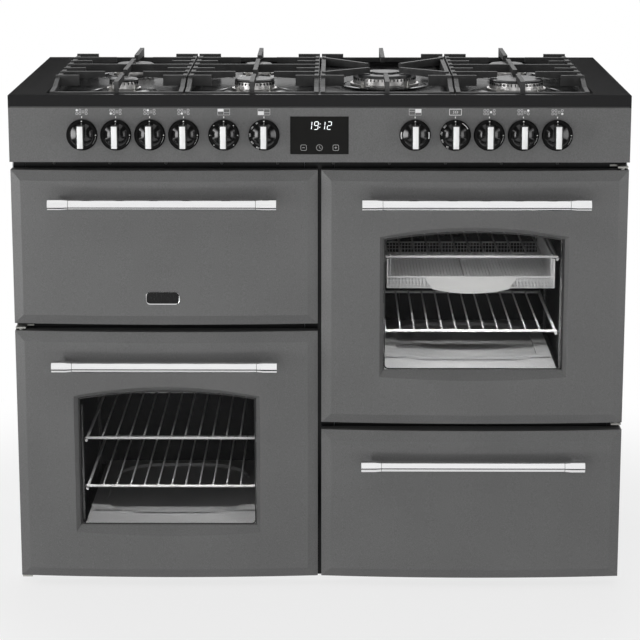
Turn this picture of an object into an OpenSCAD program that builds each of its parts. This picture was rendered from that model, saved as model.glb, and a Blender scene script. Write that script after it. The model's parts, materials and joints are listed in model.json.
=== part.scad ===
// Dual-fuel range cooker, 1100 mm wide: gas hob, grill, two ovens and a storage drawer.
// The front of the fascia is the plane that depths are counted from: a depth grows towards the back.

/* [Overall] */
// Width across the fascia and the hob
cooker_w = 1100; // [1060:10:1200]
// Depth of the hob from its front lip to its back edge
hob_d = 600; // [590:5:640]
// Height of the hob's front lip
lip_h = 23; // [20:1:30]
// Clear height under the carcass
foot_clear = 12; // [10:1:30]
// Thickness of the carcass sheet
sheet_t = 1.5; // [1:0.5:2]
// Depth at which the front frame stands
frame_d = 36; // [36:1:40]
// How far the back panel is set in from the hob's back edge
service_d = 54; // [50:1:60]

/* [Doors] */
// Height of an oven door
oven_door_h = 464; // [456:2:490]
// Height of the grill door and of the drawer front
small_door_h = 280; // [272:2:300]
// Height of the lowest door edge above the carcass bottom
kick_h = 7; // [6:1:12]
// Gap between doors that stand above each other
row_gap = 14; // [14:1:18]
// Gap between the two columns of doors
column_gap = 6.6; // [5:0.2:9]
// Depth of a door's rim at its sides
rim_d = 8; // [7:1:9]
// How far a door's middle stands forward of its sides
door_bow = 12; // [9:1:13]
// Width of the bevel round a door's front
bevel_w = 18; // [14:1:22]
// Depth of that bevel
bevel_d = 9; // [7:1:10]
// Thickness of the pressed door steel
door_t = 2; // [1.5:0.5:2.5]
// Running gap between a closed door's back and the front frame
door_seal_t = 5; // [5:0.5:6]
// Width of the glass seen in an oven door
glass_w = 322; // [300:2:326]
// Height of that glass at its sides
glass_h = 239; // [220:1:245]
// Rise of the arch over the glass
glass_rise = 14; // [10:1:18]
// Height of the glass above the bottom of its door
glass_up = 101; // [96:1:108]
// Depth of the glass behind the middle of the door's face
reveal_d = 14; // [12:1:15]
// Thickness of a pane
pane_t = 4; // [3:0.5:5]

/* [Handles] */
// Length of a handle bar over its ferrules
handle_l = 402; // [340:2:430]
// Diameter of the bar
handle_bar = 19.4; // [16:0.2:20]
// Diameter of a ferrule
ferrule = 22; // [21:0.5:26]
// Length of a ferrule
ferrule_l = 36; // [30:1:44]
// Drop of the bar below the top edge of its door
handle_drop = 53; // [48:1:60]
// Distance from the door's face to the bar's axis
handle_out = 39; // [36:1:44]

/* [Fascia] */
// Height of the fascia
fascia_h = 97; // [92:1:104]
// Gap between the fascia and the doors
fascia_gap = 15; // [15:1:18]
// Height of the knob axis above the fascia's lower edge
knob_up = 49; // [45:1:52]
// Knob places across the fascia
knob_x = [-420, -360, -300, -240, -169, -98, 169, 240, 300, 360, 420];
// Diameter of a knob's skirt
skirt = 55; // [48:1:56]
// Diameter of a knob's dome
dome = 45; // [40:1:46]
// Reach of a knob's grip in front of the fascia
knob_reach = 38; // [34:1:42]
// Width of the grip
grip_w = 14; // [11:0.5:15]
// Diameter of a knob's spindle
spindle = 6; // [5:0.5:8]
// Width of the clock glass
clock_w = 103.5; // [90:0.5:110]
// Height of the clock glass
clock_h = 67.5; // [60:0.5:70]

/* [Hob] */
// Depth of the hob's well below its rim
well_t = 15; // [12:1:16]
// Width of the well
well_w = 971; // [960:1:980]
// Depth of the front and back rims
well_rim = 17; // [15:1:20]
// Height of the pan supports above the rim
support_up = 21; // [18:1:26]
// Pitch of the four pan supports
support_pitch = 240; // [238:1:241]
// Gap between neighbouring pan supports
support_gap = 3.6; // [3:0.2:5]
// Thickness of a cast bar
bar_t = 8; // [6:0.5:9]
// Pitch of the rows of fingers
finger_pitch = 58.3; // [56:0.1:60]

/* [Ovens] */
// Width inside an oven
oven_w = 340; // [332:2:344]
// Height inside an oven
oven_h = 345; // [340:1:348]
// Depth inside an oven
oven_d = 430; // [420:5:440]
// Height of an oven's floor above the bottom of its door
oven_up = 76; // [70:1:80]
// Width inside the grill
grill_w = 400; // [380:2:420]
// Height inside the grill
grill_h = 172; // [165:1:178]
// Height of the grill's floor above the bottom of its door
grill_up = 68; // [64:1:76]
// Pitch of the bars of a shelf
shelf_pitch = 25.7; // [24:0.1:28]
// Heights of the main oven's shelves above its floor
main_shelves = [71, 164];
// Heights of the right oven's shelves above its floor
right_shelves = [76, 215];

/* [Drawer] */
// Width of the drawer box
box_w = 460; // [420:5:470]
// Height of the drawer box
box_h = 190; // [160:5:200]
// Depth of the drawer box
box_d = 440; // [400:5:450]

/* [Feet] */
// Distance of a foot's axis from the side of the carcass
foot_in = 26; // [24:1:60]
// Diameter of a foot's pad
foot_pad = 30; // [24:1:36]
// Diameter of a foot's threaded stem
foot_stem = 10; // [8:1:12]

/* [Hidden] */
$fn = 64;
tiny = 0.01;
fit = 0.05;
seat = 0.3;
face_d = rim_d - door_bow - bevel_d;
handle_reach = handle_out + ferrule / 2 - face_d;
front_y = -(hob_d - handle_reach) / 2;
door_w = (cooker_w - column_gap) / 2;
column_x = (column_gap + door_w) / 2;
carcass_z = foot_clear;
low_z = carcass_z + kick_h;
grill_z = low_z + oven_door_h + row_gap;
right_z = low_z + small_door_h + row_gap;
doors_top = grill_z + small_door_h;
fascia_z = doors_top + fascia_gap;
lip_z = fascia_z + fascia_h;
hob_z = lip_z + lip_h;
knob_z = fascia_z + knob_up;
rail_z = knob_z - 30;
rail_d = 34;
rail_dia = 14;
back_d = hob_d - service_d;
bow_r = (pow(door_w / 2, 2) + pow(door_bow, 2)) / (2 * door_bow);
bow_a = 2 * asin((door_w / 2 + 12) / bow_r);
bow_d = rim_d - door_bow + bow_r;
door_back = frame_d - door_seal_t;
glass_d = face_d + reveal_d;
liner_t = 1.5;
pin_r = 3.5;
pin_in = 10;
pin_d = door_back - 12;
grill_axis_d = face_d + 25;
grill_axis_up = grill_axis_d - face_d - row_gap + 2;
grill_arm_x = 215;
arm_t = 4;
plate_t = 2;
frame_open = 250;
frame_back = frame_d + plate_t;
cavity_d = frame_back + seat;
cavity_end = cavity_d + oven_d;
mid_d = hob_d / 2 - 8;
well_r = 14;
floor_z = hob_z - well_t;
support_z = hob_z + support_up;
gas_knobs = [0, 1, 2, 3, 8, 9, 10];
oven_knobs = [4, 5, 6, 7];
main_x = -column_x;
right_x = column_x;
main_floor = low_z + oven_up;
right_floor = right_z + oven_up;
grill_floor = grill_z + grill_up;
shelf_w = oven_w - 22;
shelf_front = cavity_d + 50;
shelf_back = cavity_end - 45;
wire = 3.2;
rim_wire = 5;
runner_t = 12;

// Puts a piece drawn by depth and height into the cooker's own frame
module in_place(x = 0, z = 0) {
  translate([x, front_y, z]) children();
}

// Box from its low corner to its high corner
module block(low, high) {
  translate(low) cube(high - low);
}

// Outline in depth and height, given a thickness along X from x
module side_profile(x, t, points) {
  translate([x, 0, 0]) rotate([90, 0, 90]) linear_extrude(t) polygon(points);
}

// Outline in X and height, given a thickness in depth from d
module front_profile(d, t, points) {
  translate([0, d + t, 0]) rotate([90, 0, 0]) linear_extrude(t) polygon(points);
}

// Rod along X
module rod_x(x1, x2, d, z, dia) {
  translate([x1, d, z]) rotate([0, 90, 0]) cylinder(h = x2 - x1, d = dia, $fn = 48);
}

// Rod along the depth
module rod_d(x, d1, d2, z, dia) {
  translate([x, d1, z]) rotate([-90, 0, 0]) cylinder(h = d2 - d1, d = dia, $fn = 48);
}

// Rod along the height
module rod_z(x, d, z1, z2, dia) {
  translate([x, d, z1]) cylinder(h = z2 - z1, d = dia, $fn = 48);
}

// Bowed block with a bevelled rim, shrunk all round by inset, ending at depth back
module door_block(h, inset, back) {
  slope = bevel_d / bevel_w;
  drop = inset * sqrt(1 + slope * slope);
  rim_r = bow_r + slope * inset - drop;
  face_r = bow_r + bevel_d - inset;
  turn = (bevel_d - inset + drop) / slope;
  side_slope = slope + door_w / 2 / bow_r;
  side_drop = inset * sqrt(1 + side_slope * side_slope);
  side = door_w / 2 - inset;
  reach = bevel_w * 3;
  rim = rim_d - side_slope * inset + side_drop;
  tip = rim_d - side_slope * reach + side_drop;
  intersection() {
    translate([0, bow_d, 0])
      rotate([0, 0, -90 - bow_a / 2])
        rotate_extrude(angle = bow_a, $fn = 720)
          polygon([[bow_r - 70, inset], [rim_r, inset], [face_r, turn], [face_r, h - turn],
            [rim_r, h - inset], [bow_r - 70, h - inset]]);
    linear_extrude(h)
      polygon([[-side, back], [-side, rim], [reach - door_w / 2, tip],
        [door_w / 2 - reach, tip], [side, rim], [side, back]]);
  }
}

// Flared space over the glass, grown all round by grow, running over the glass plane by over
module reveal(grow, over = 0) {
  reach = reveal_d * 2;
  flare_side = 11 * 2;
  flare_low = 18 * 2;
  flare_top = 10 * 2;
  half = glass_w / 2 + grow;
  low = glass_up - grow;
  arch_r = (pow(glass_w / 2, 2) + pow(glass_rise, 2)) / (2 * glass_rise);
  peak = glass_up + glass_h + glass_rise;
  front = glass_d - reach;
  back = glass_d + over;
  intersection() {
    translate([0, front, peak - arch_r]) rotate([-90, 0, 0])
      cylinder(h = reach + over, r1 = arch_r + flare_top + grow, r2 = arch_r + grow, $fn = 720);
    linear_extrude(peak + 60)
      polygon([[-half - flare_side, front], [half + flare_side, front], [half, back],
        [-half, back]]);
    side_profile(-door_w / 2, door_w, [[front, low - flare_low], [back, low],
      [back, peak + 60], [front, peak + 60]]);
  }
}

// Straight hole over the glass, for what lies behind the flared reveal
module glass_hole(d1, d2, grow = 0) {
  block([-glass_w / 2 - grow, d1, glass_up - grow],
    [glass_w / 2 + grow, d2, glass_up + glass_h + glass_rise + grow]);
}

// Holes in a door's top and bottom flanges round the hinge pins, side is -1 or 1
module pin_holes(h, side) {
  for (z = [-1, h - door_t - 1])
    rod_z(side * (door_w / 2 - pin_in), pin_d, z, z + door_t + 2, pin_r * 2 + 6);
}

// Pressed door skin, open at the back
module door_skin(h) {
  difference() {
    door_block(h, 0, door_back);
    door_block(h, door_t, door_back + 1);
  }
}

// Door skin with its flared window
module window_skin(h, side) {
  difference() {
    union() {
      door_skin(h);
      intersection() {
        reveal(door_t);
        door_block(h, door_t / 2, door_back);
      }
    }
    reveal(0, 0.5);
    pin_holes(h, side);
  }
}

// Closing plate of a door with the box that joins its two panes
module window_liner(h, side) {
  edge = door_w / 2 - door_t - seat;
  low = door_t + seat;
  pane_back = door_back - liner_t;
  inner_d = pane_back - pane_t;
  difference() {
    union() {
      block([-edge, pane_back, low], [edge, door_back, h - low]);
      for (x = [-edge, edge - liner_t])
        block([x, pane_back - 8, low], [x + liner_t, pane_back + tiny, h - low]);
      difference() {
        glass_hole(glass_d + pane_t + seat, pane_back + tiny, 18);
        glass_hole(glass_d, door_back, 18 - liner_t);
      }
      for (z = [low, h - low - 20]) pin_block(side, z);
    }
    glass_hole(inner_d, door_back + 1, 8);
    rod_z(side * (door_w / 2 - pin_in), pin_d, -1, h + 1, (pin_r + fit) * 2);
  }
}

// Block that a vertical hinge pin turns in
module pin_block(side, z) {
  x = side * (door_w / 2 - pin_in);
  block([x - 7, pin_d - 8, z], [x + 7, door_back - tiny, z + 20]);
}

// Both panes of an oven door
module door_glass() {
  inner = door_back - liner_t - pane_t;
  color("black", 0.5) {
    glass_hole(glass_d + seat, glass_d + seat + pane_t - seat, 14);
    glass_hole(inner - seat, inner - seat + pane_t, 14);
  }
}

// Handle: bar, two flared ferrules and two posts cut to the bow of the door's face
module handle(h) {
  axis_d = face_d - handle_out;
  z = h - handle_drop;
  post_x = handle_l / 2 - ferrule_l / 2 + 3;
  color("silver") difference() {
    union() {
      rod_x(-handle_l / 2 + 2, handle_l / 2 - 2, axis_d, z, handle_bar);
      for (s = [-1, 1]) {
        translate([s * handle_l / 2, axis_d, z]) rotate([0, -s * 90, 0]) {
          cylinder(h = ferrule_l * 0.7, d = ferrule);
          translate([0, 0, ferrule_l * 0.7])
            cylinder(h = ferrule_l * 0.3, d1 = ferrule, d2 = handle_bar + 0.4);
        }
        rod_d(s * post_x, axis_d, face_d + 20, z, handle_bar - 2);
      }
    }
    translate([0, 0, -h]) door_block(h * 3, 0, door_back);
  }
}

module grill_door_panel() {
  color("dimgray") in_place(main_x, grill_z) difference() {
    door_skin(small_door_h);
    for (s = [-1, 1])
      block([s * grill_arm_x - arm_t, grill_axis_d - 6.5, -1],
        [s * grill_arm_x + arm_t, door_back + 1, door_t + 1]);
  }
}

module grill_door_liner() {
  edge = door_w / 2 - door_t - seat;
  low = door_t + seat;
  top = small_door_h - low;
  plate_d = door_back - liner_t;
  axis_z = grill_axis_up;
  color("gainsboro") in_place(main_x, grill_z) difference() {
    union() {
      block([-edge, plate_d, low], [edge, door_back, top]);
      for (z = [low, top - liner_t])
        block([-edge, plate_d - 8, z], [edge, plate_d + tiny, z + liner_t]);
      for (s = [-1, 1], side = [-1, 1])
        translate([s * grill_arm_x + side * (arm_t / 2 + 8.5), 0, 0])
          block([-6, grill_axis_d - 7, low + 2], [6, door_back - tiny, axis_z + 9]);
    }
    for (s = [-1, 1]) {
      block([s * grill_arm_x - arm_t / 2 - 2, 0, -1],
        [s * grill_arm_x + arm_t / 2 + 2, door_back + 1, axis_z + 12]);
      rod_x(s * grill_arm_x - 30, s * grill_arm_x + 30, grill_axis_d, axis_z,
        (pin_r + fit) * 2);
    }
  }
}

module grill_door_handle() {
  in_place(main_x, grill_z) handle(small_door_h);
}

module main_door_panel() {
  color("dimgray") in_place(main_x, low_z) window_skin(oven_door_h, -1);
}

module main_door_glass() {
  in_place(main_x, low_z) door_glass();
}

module main_door_liner() {
  color("gainsboro") in_place(main_x, low_z) window_liner(oven_door_h, -1);
}

module main_door_handle() {
  in_place(main_x, low_z) handle(oven_door_h);
}

module right_door_panel() {
  color("dimgray") in_place(right_x, right_z) window_skin(oven_door_h, 1);
}

module right_door_glass() {
  in_place(right_x, right_z) door_glass();
}

module right_door_liner() {
  color("gainsboro") in_place(right_x, right_z) window_liner(oven_door_h, 1);
}

module right_door_handle() {
  in_place(right_x, right_z) handle(oven_door_h);
}

module drawer_front() {
  color("dimgray") in_place(right_x, low_z) door_skin(small_door_h);
}

// Open-topped box with a closing plate for the drawer front and a runner strip on each side
module drawer_box() {
  edge = door_w / 2 - door_t - seat;
  low = door_t + seat;
  half = box_w / 2;
  bottom = 40;
  end = door_back + box_d;
  color("gray") in_place(right_x, low_z) {
    difference() {
      union() {
        block([-half, door_back - liner_t, bottom], [half, end, bottom + box_h]);
        block([-edge, door_back - liner_t, low], [edge, door_back, small_door_h - low]);
      }
      block([-half + sheet_t, door_back + sheet_t, bottom + sheet_t],
        [half - sheet_t, end - sheet_t, bottom + box_h + 1]);
    }
    for (s = [-1, 1])
      translate([s * (half + 4), 0, bottom + 20])
        block([-4, door_back + 20, 0], [4, end - 10, 12]);
  }
}

module drawer_handle() {
  in_place(right_x, low_z) handle(small_door_h);
}

// Runner channels that the strips slide in, on legs that stand on the base pan
module drawer_rails() {
  half = box_w / 2;
  bottom = low_z + 40 + 20;
  in_place(right_x) color("silver") for (s = [-1, 1]) {
    difference() {
      union() {
        translate([s * (half + seat + 1 + runner_t / 2), 0, bottom - 4])
          block([-runner_t / 2, frame_back + seat, 0], [runner_t / 2, back_d - 30, 20]);
        for (d = [frame_back + 60, back_d - 110])
          translate([s * (half + runner_t - 3), 0, carcass_z + sheet_t + seat])
            block([-2.5, d, 0], [2.5, d + 30, bottom - carcass_z - sheet_t]);
      }
      translate([s * (half + 4), 0, bottom - 0.6])
        block([-5, frame_back, 0], [4.6, back_d, 13.2]);
    }
  }
}

// Knob that turns on a spindle: skirt, dome and upright grip
module knob(i) {
  dome_out = 15;
  dome_r = (pow(dome / 2, 2) + pow(9, 2)) / (2 * 9);
  color("black") in_place(knob_x[i], knob_z) rotate([90, 0, 0]) {
    translate([0, 0, -26]) cylinder(h = 30, d = spindle, $fn = 32);
    translate([0, 0, 0.8]) cylinder(h = 4, d = skirt);
    translate([0, 0, 4.8 - tiny]) cylinder(h = 2, d1 = skirt, d2 = skirt - 4);
    intersection() {
      translate([0, 0, dome_out - dome_r]) sphere(r = dome_r, $fn = 96);
      translate([0, 0, 2]) cylinder(h = 20, d = dome);
    }
    intersection() {
      translate([-grip_w / 2, -dome / 2, 5]) cube([grip_w, dome, knob_reach - 5]);
      translate([0, 0, 5]) cylinder(h = knob_reach, d1 = dome, d2 = dome - 6);
    }
  }
}

// Plain control panel with its flanges and the holes behind the knobs and the clock
module fascia() {
  color("dimgray") in_place(0, fascia_z) difference() {
    union() {
      block([-cooker_w / 2, 0, 0], [cooker_w / 2, plate_t, fascia_h]);
      block([-cooker_w / 2, 0, 0], [cooker_w / 2, frame_d - seat, plate_t]);
      for (s = [-1, 1])
        translate([s * (cooker_w / 2 - plate_t / 2), 0, 0])
          block([-plate_t / 2, 0, 0], [plate_t / 2, frame_d - seat, fascia_h]);
    }
    for (x = knob_x) rod_d(x, -1, plate_t + 1, knob_up, spindle + 4);
    block([-clock_w / 2, -1, knob_up - clock_h / 2 - 1],
      [clock_w / 2, plate_t + 1, knob_up + clock_h / 2 - 1]);
  }
}

// Clock glass and the module behind it
module clock_glass() {
  half = clock_w / 2 - seat;
  low = knob_up - clock_h / 2 - 1 + seat;
  color("black") in_place(0, fascia_z) {
    block([-half, -0.8, low], [half, plate_t, low + clock_h - 2 * seat]);
    block([-half - 4, plate_t + seat, low - 4], [half + 4, rail_d - 10, low + clock_h + 3]);
  }
}

// Taps on their gas rail, with a bore for each spindle
module gas_taps() {
  color("goldenrod") in_place() {
    difference() {
      union() {
        rod_x(knob_x[0] - 30, cooker_w / 2 - 30, rail_d, rail_z, rail_dia);
        for (i = gas_knobs) {
          block([knob_x[i] - 12, 9, rail_z], [knob_x[i] + 12, 46, knob_z + 14]);
          translate([knob_x[i], 0, knob_z]) rotate([-90, 0, 0]) translate([0, 0, plate_t + seat])
            cylinder(h = 8, d = 20);
        }
      }
      for (i = gas_knobs) rod_d(knob_x[i], 0, 30, knob_z, spindle + 2 * fit);
    }
  }
}

// Bodies of the oven and grill selectors and thermostats
module oven_switches() {
  color("ivory") in_place() for (i = oven_knobs) {
    difference() {
      union() {
        block([knob_x[i] - 20, 9, knob_z - 22], [knob_x[i] + 20, 50, knob_z + 22]);
        translate([knob_x[i], 0, knob_z]) rotate([-90, 0, 0]) translate([0, 0, plate_t + seat])
          cylinder(h = 8, d = 20);
      }
      rod_d(knob_x[i], 0, 30, knob_z, spindle + 2 * fit);
    }
  }
}

// Plan places of the burners: x, depth, cap diameter
function burners() = [
  [-1.5 * support_pitch, 170, 53], [-1.5 * support_pitch, 412, 73],
  [-0.5 * support_pitch, 170, 72], [-0.5 * support_pitch, 412, 53],
  [0.5 * support_pitch, mid_d - 42, 117],
  [1.5 * support_pitch, 172, 98], [1.5 * support_pitch, 412, 68]];

// Rectangle in plan with exact round corners
module round_plan(x1, d1, x2, d2, r) {
  translate([x1 + r, d1]) square([x2 - x1 - 2 * r, d2 - d1]);
  translate([x1, d1 + r]) square([x2 - x1, d2 - d1 - 2 * r]);
  for (x = [x1 + r, x2 - r], d = [d1 + r, d2 - r]) translate([x, d]) circle(r = r);
}

// Enamelled hob pressing: lip, rim and well
module hob_top() {
  half = cooker_w / 2;
  chamfer = 1.5;
  color([0.1, 0.1, 0.1]) in_place() {
    difference() {
      intersection() {
        block([-half, 0, lip_z], [half, hob_d, hob_z]);
        front_profile(0, hob_d, [[-half, lip_z], [half, lip_z], [half, hob_z - chamfer],
          [half - chamfer, hob_z], [chamfer - half, hob_z], [-half, hob_z - chamfer]]);
        side_profile(-half, cooker_w, [[0, lip_z], [hob_d, lip_z], [hob_d, hob_z - chamfer],
          [hob_d - chamfer, hob_z], [chamfer, hob_z], [0, hob_z - chamfer]]);
      }
      translate([0, 0, floor_z])
        linear_extrude(well_t + 1) round_plan(-well_w / 2, well_rim, well_w / 2, hob_d - well_rim, well_r);
      difference() {
        block([plate_t - half, plate_t, lip_z - 1], [half - plate_t, hob_d - plate_t, hob_z - plate_t]);
        translate([0, 0, floor_z - plate_t]) linear_extrude(well_t + plate_t)
          round_plan(-well_w / 2 - plate_t, well_rim - plate_t, well_w / 2 + plate_t,
            hob_d - well_rim + plate_t, well_r + plate_t);
      }
      for (b = burners()) rod_z(b[0], b[1], lip_z, hob_z, b[2] * 0.6);
    }
    for (b = burners()) translate([b[0], b[1], floor_z - tiny]) difference() {
      cylinder(h = 4, d1 = b[2] + 56, d2 = b[2] + 30);
      translate([0, 0, -1]) cylinder(h = 7, d = b[2] * 0.6);
    }
  }
}

// Cast burner bodies: cup under the hob, flared skirt and flame ring
module burner_bodies() {
  top = hob_z + 4;
  color("silver") in_place() for (b = burners()) translate([b[0], b[1], 0]) {
    translate([0, 0, floor_z - 12]) cylinder(h = top - floor_z + 12, d = b[2] * 0.6 - 1);
    translate([0, 0, floor_z + 4 + seat]) cylinder(h = 3, d = b[2] + 10);
    translate([0, 0, floor_z + 7]) cylinder(h = top - floor_z - 7, d1 = b[2] + 2, d2 = b[2] - 4);
  }
}

// Burner caps, and the wok burner's inner cap
module burner_caps() {
  seat_z = hob_z + 4 + seat;
  color([0.2, 0.2, 0.2]) in_place() for (b = burners()) translate([b[0], b[1], seat_z]) {
    if (b[2] > 110) {
      difference() {
        cylinder(h = 5, d1 = b[2], d2 = b[2] - 6);
        translate([0, 0, -1]) cylinder(h = 7, d = 62);
      }
      cylinder(h = 8, d1 = 50, d2 = 45);
    } else {
      cylinder(h = 3, d = b[2]);
      translate([0, 0, 3 - tiny]) cylinder(h = 2, d1 = b[2], d2 = b[2] - 6);
    }
  }
}

// Bar along X between x1 and x2, tall at x1 and shallow at its tip x2
module finger(x1, x2, d, root = 15, tip = 10) {
  front_profile(d - bar_t / 2, bar_t, [[x1, support_z - root], [x2, support_z - tip],
    [x2, support_z], [x1, support_z]]);
}

// Bar along the depth between d1 and d2, tall at d1 and shallow at its tip d2
module long_finger(x, d1, d2, root = 15, tip = 10) {
  side_profile(x - bar_t / 2, bar_t, [[d1, support_z - root], [d2, support_z - tip],
    [d2, support_z], [d1, support_z]]);
}

// Cast-iron pan support over two burners or, if wok is true, over the wok burner
module pan_support(i, wok) {
  x1 = (i - 2) * support_pitch + support_gap / 2;
  x2 = x1 + support_pitch - support_gap;
  mid_x = (x1 + x2) / 2;
  rail = well_rim + 4;
  rail_end = hob_d - rail;
  first = mid_d - 3 * finger_pitch;
  last = mid_d + 3 * finger_pitch;
  half_w = mid_x - x1;
  short = 42;
  long = 83;
  color([0.15, 0.15, 0.15]) in_place() {
    for (x = [x1, x2 - bar_t]) side_profile(x, bar_t, [
      [rail, hob_z - 6], [rail + 12, hob_z - 6], [rail + 60, hob_z - 2], [first - 4, hob_z + 4],
      [last + 4, hob_z + 4], [rail_end - 60, hob_z - 2], [rail_end - 12, hob_z - 6],
      [rail_end, hob_z - 6], [rail_end, hob_z + 3], [rail_end - 45, hob_z + 6],
      [last + 12, support_z - 5], [last, support_z - 3], [first, support_z - 3],
      [first - 12, support_z - 5], [rail + 45, hob_z + 6], [rail, hob_z + 3]]);
    for (d = [rail, rail_end - bar_t]) block([x1, d, hob_z - 6], [x2, d + bar_t, hob_z + 2]);
    for (x = [x1 + 12, x2 - 12], d = [rail + 5, rail_end - 5])
      rod_z(x, d, floor_z + seat, hob_z - 5, 8);
    for (s = [-1, 1]) {
      for (d = [first, last])
        block([s > 0 ? x1 : x2 - short, d - bar_t / 2, hob_z + 2],
          [s > 0 ? x1 + short : x2, d + bar_t / 2, support_z]);
      edge = mid_x + s * (half_w - 1);
      if (wok)
        for (f = [[mid_d - 120, 39, 109], [mid_d + 118, -51, 133]])
          translate([mid_x, 0, 0]) mirror([s > 0 ? 1 : 0, 0, 0])
            translate([bar_t / 2 - half_w, f[0], 0]) rotate([0, 0, f[1]])
              front_profile(-bar_t / 2, bar_t, [[0, support_z - 15], [f[2], support_z - 10],
                [f[2], support_z], [0, support_z]]);
      if (!wok) {
        for (k = [-2, 2]) finger(edge, edge - s * (long - 1), mid_d + k * finger_pitch);
        for (k = [-1, 1]) finger(edge, edge - s * (short - 1), mid_d + k * finger_pitch);
      }
    }
    if (!wok) finger(x1 + 1, x2 - 1, mid_d, 15, 15);
    if (!wok) long_finger(mid_x, mid_d - 91, mid_d + 91, 11, 11);
    long_finger(mid_x, rail, wok ? 147 : 139);
    long_finger(mid_x, rail_end, wok ? 410 : 443);
    for (d = [rail, rail_end - 14])
      block([mid_x - bar_t / 2, d, hob_z], [mid_x + bar_t / 2, d + 14, support_z - 2]);
  }
}

// Levelling foot: pad, collar and threaded stem
module foot(sx, back) {
  x = sx * (cooker_w / 2 - foot_in);
  d = back ? back_d - 40 : frame_d + 40;
  color([0.1, 0.1, 0.1]) in_place(x) translate([0, d, 0]) {
    cylinder(h = carcass_z - 5, d = foot_pad);
    cylinder(h = carcass_z - seat, d = foot_pad * 0.6);
    cylinder(h = carcass_z + 34, d = foot_stem);
  }
}

// Base sheet with a threaded boss over each foot
module base_pan() {
  edge = cooker_w / 2 - sheet_t - seat;
  color("silver") in_place() difference() {
    union() {
      block([-edge, frame_back + seat, carcass_z], [edge, back_d - seat, carcass_z + sheet_t]);
      for (sx = [-1, 1], d = [frame_d + 40, back_d - 40])
        translate([sx * (cooker_w / 2 - foot_in), d, carcass_z]) cylinder(h = 22, d = 20);
    }
    for (sx = [-1, 1], d = [frame_d + 40, back_d - 40])
      rod_z(sx * (cooker_w / 2 - foot_in), d, carcass_z - 1, carcass_z + 30, foot_stem + 2 * fit);
  }
}

// Outer side of the carcass with its front and back flanges
module side_panel(s) {
  half = cooker_w / 2;
  color("silver") in_place() for (part = [[half - sheet_t, half, frame_d, hob_d - 12],
    [half - 14, half - sheet_t + tiny, hob_d - 12 - sheet_t, hob_d - 12]])
    block([s > 0 ? part[0] : -part[1], part[2], carcass_z],
      [s > 0 ? part[1] : -part[0], part[3], lip_z - seat]);
}

// Back sheet with its louvres, its bracket holes and the holes behind the services
module back_panel() {
  edge = cooker_w / 2 - sheet_t - seat;
  color("silver") in_place() difference() {
    block([-edge, back_d, carcass_z + sheet_t + seat], [edge, back_d + sheet_t, lip_z - seat]);
    for (s = [-1, 1], k = [0 : 7])
      block([s * column_x - 90, back_d - 1, doors_top - 40 + k * 12],
        [s * column_x + 90, back_d + sheet_t + 1, doors_top - 34 + k * 12]);
    for (s = [-1, 1]) rod_d(s * 50, back_d - 1, back_d + 4, lip_z - 60, 6.4);
    rod_d(cooker_w / 2 - 45, back_d - 1, back_d + 4, rail_z, rail_dia + 4);
    rod_d(-cooker_w / 2 + 90, back_d - 1, back_d + 4, right_z + 60, 14);
  }
}

// Stiles, rails and fillers of the front frame round the four openings
module front_frame() {
  half = cooker_w / 2 - sheet_t - seat;
  inner = column_x - frame_open;
  outer = column_x + frame_open;
  top = fascia_z - 2;
  low = carcass_z;
  color([0.12, 0.12, 0.12]) in_place() {
    for (x = [[-half, -outer], [-inner, inner], [outer, half]])
      block([x[0], frame_d, low], [x[1], frame_back, top]);
    for (r = [[-1, low, main_floor], [-1, main_floor + oven_h, grill_floor],
        [-1, grill_floor + grill_h, top], [1, low, low_z + 34],
        [1, low_z + 40 + box_h + 12, right_floor], [1, right_floor + oven_h, top]])
      block([r[0] * column_x - frame_open + seat, frame_d, r[1]],
        [r[0] * column_x + frame_open - seat, frame_back, r[2]]);
    for (f = [[-1, main_floor, oven_h, oven_w], [-1, grill_floor, grill_h, grill_w],
        [1, right_floor, oven_h, oven_w]], s = [-1, 1]) {
      near = f[0] * column_x + s * f[3] / 2;
      far = f[0] * column_x + s * (frame_open - seat);
      block([min(near, far), frame_d, f[1] + seat], [max(near, far), frame_back, f[1] + f[2] - seat]);
    }
  }
}

// Enamelled liner with a flange behind the front frame, open at the front
module cavity(x, z, w, h, depth, wall = 1.5) {
  in_place(x, z) difference() {
    union() {
      block([-w / 2 - wall, cavity_d, -wall], [w / 2 + wall, cavity_d + depth + wall, h + wall]);
      block([-w / 2 - 14, cavity_d, -10], [w / 2 + 14, cavity_d + wall, h + 10]);
    }
    block([-w / 2, cavity_d - 1, 0], [w / 2, cavity_d + depth, h]);
    children();
  }
}

module main_oven_cavity() {
  color([0.1, 0.1, 0.1]) cavity(main_x, main_floor, oven_w, oven_h, oven_d);
}

module right_oven_cavity() {
  color([0.1, 0.1, 0.1]) cavity(right_x, right_floor, oven_w, oven_h, oven_d)
    rod_d(0, cavity_d + oven_d - 1, cavity_d + oven_d + 4, oven_h / 2, 16);
}

module grill_cavity() {
  color([0.1, 0.1, 0.1]) {
    cavity(main_x, grill_floor, grill_w, grill_h, 380);
    in_place(main_x, grill_floor) for (s = [-1, 1])
      translate([s * (grill_w / 2 - 5 + tiny), 0, 28])
        block([-5, cavity_d + 10, 0], [5, cavity_d + 370, 3]);
  }
}

// Grill pan with its wire trivet, on the ledges of the grill
module grill_pan() {
  half = grill_w / 2 - 14;
  low = 31 + seat;
  color([0.2, 0.2, 0.25]) in_place(main_x, grill_floor) {
    difference() {
      union() {
        block([-half, cavity_d + 20, low - 20], [half, cavity_d + 350, low + 18]);
        block([-half - 10, cavity_d + 20, low], [half + 10, cavity_d + 350, low + 2]);
      }
      block([-half + 2, cavity_d + 22, low - 18], [half - 2, cavity_d + 348, low + 20]);
    }
  }
}

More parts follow.
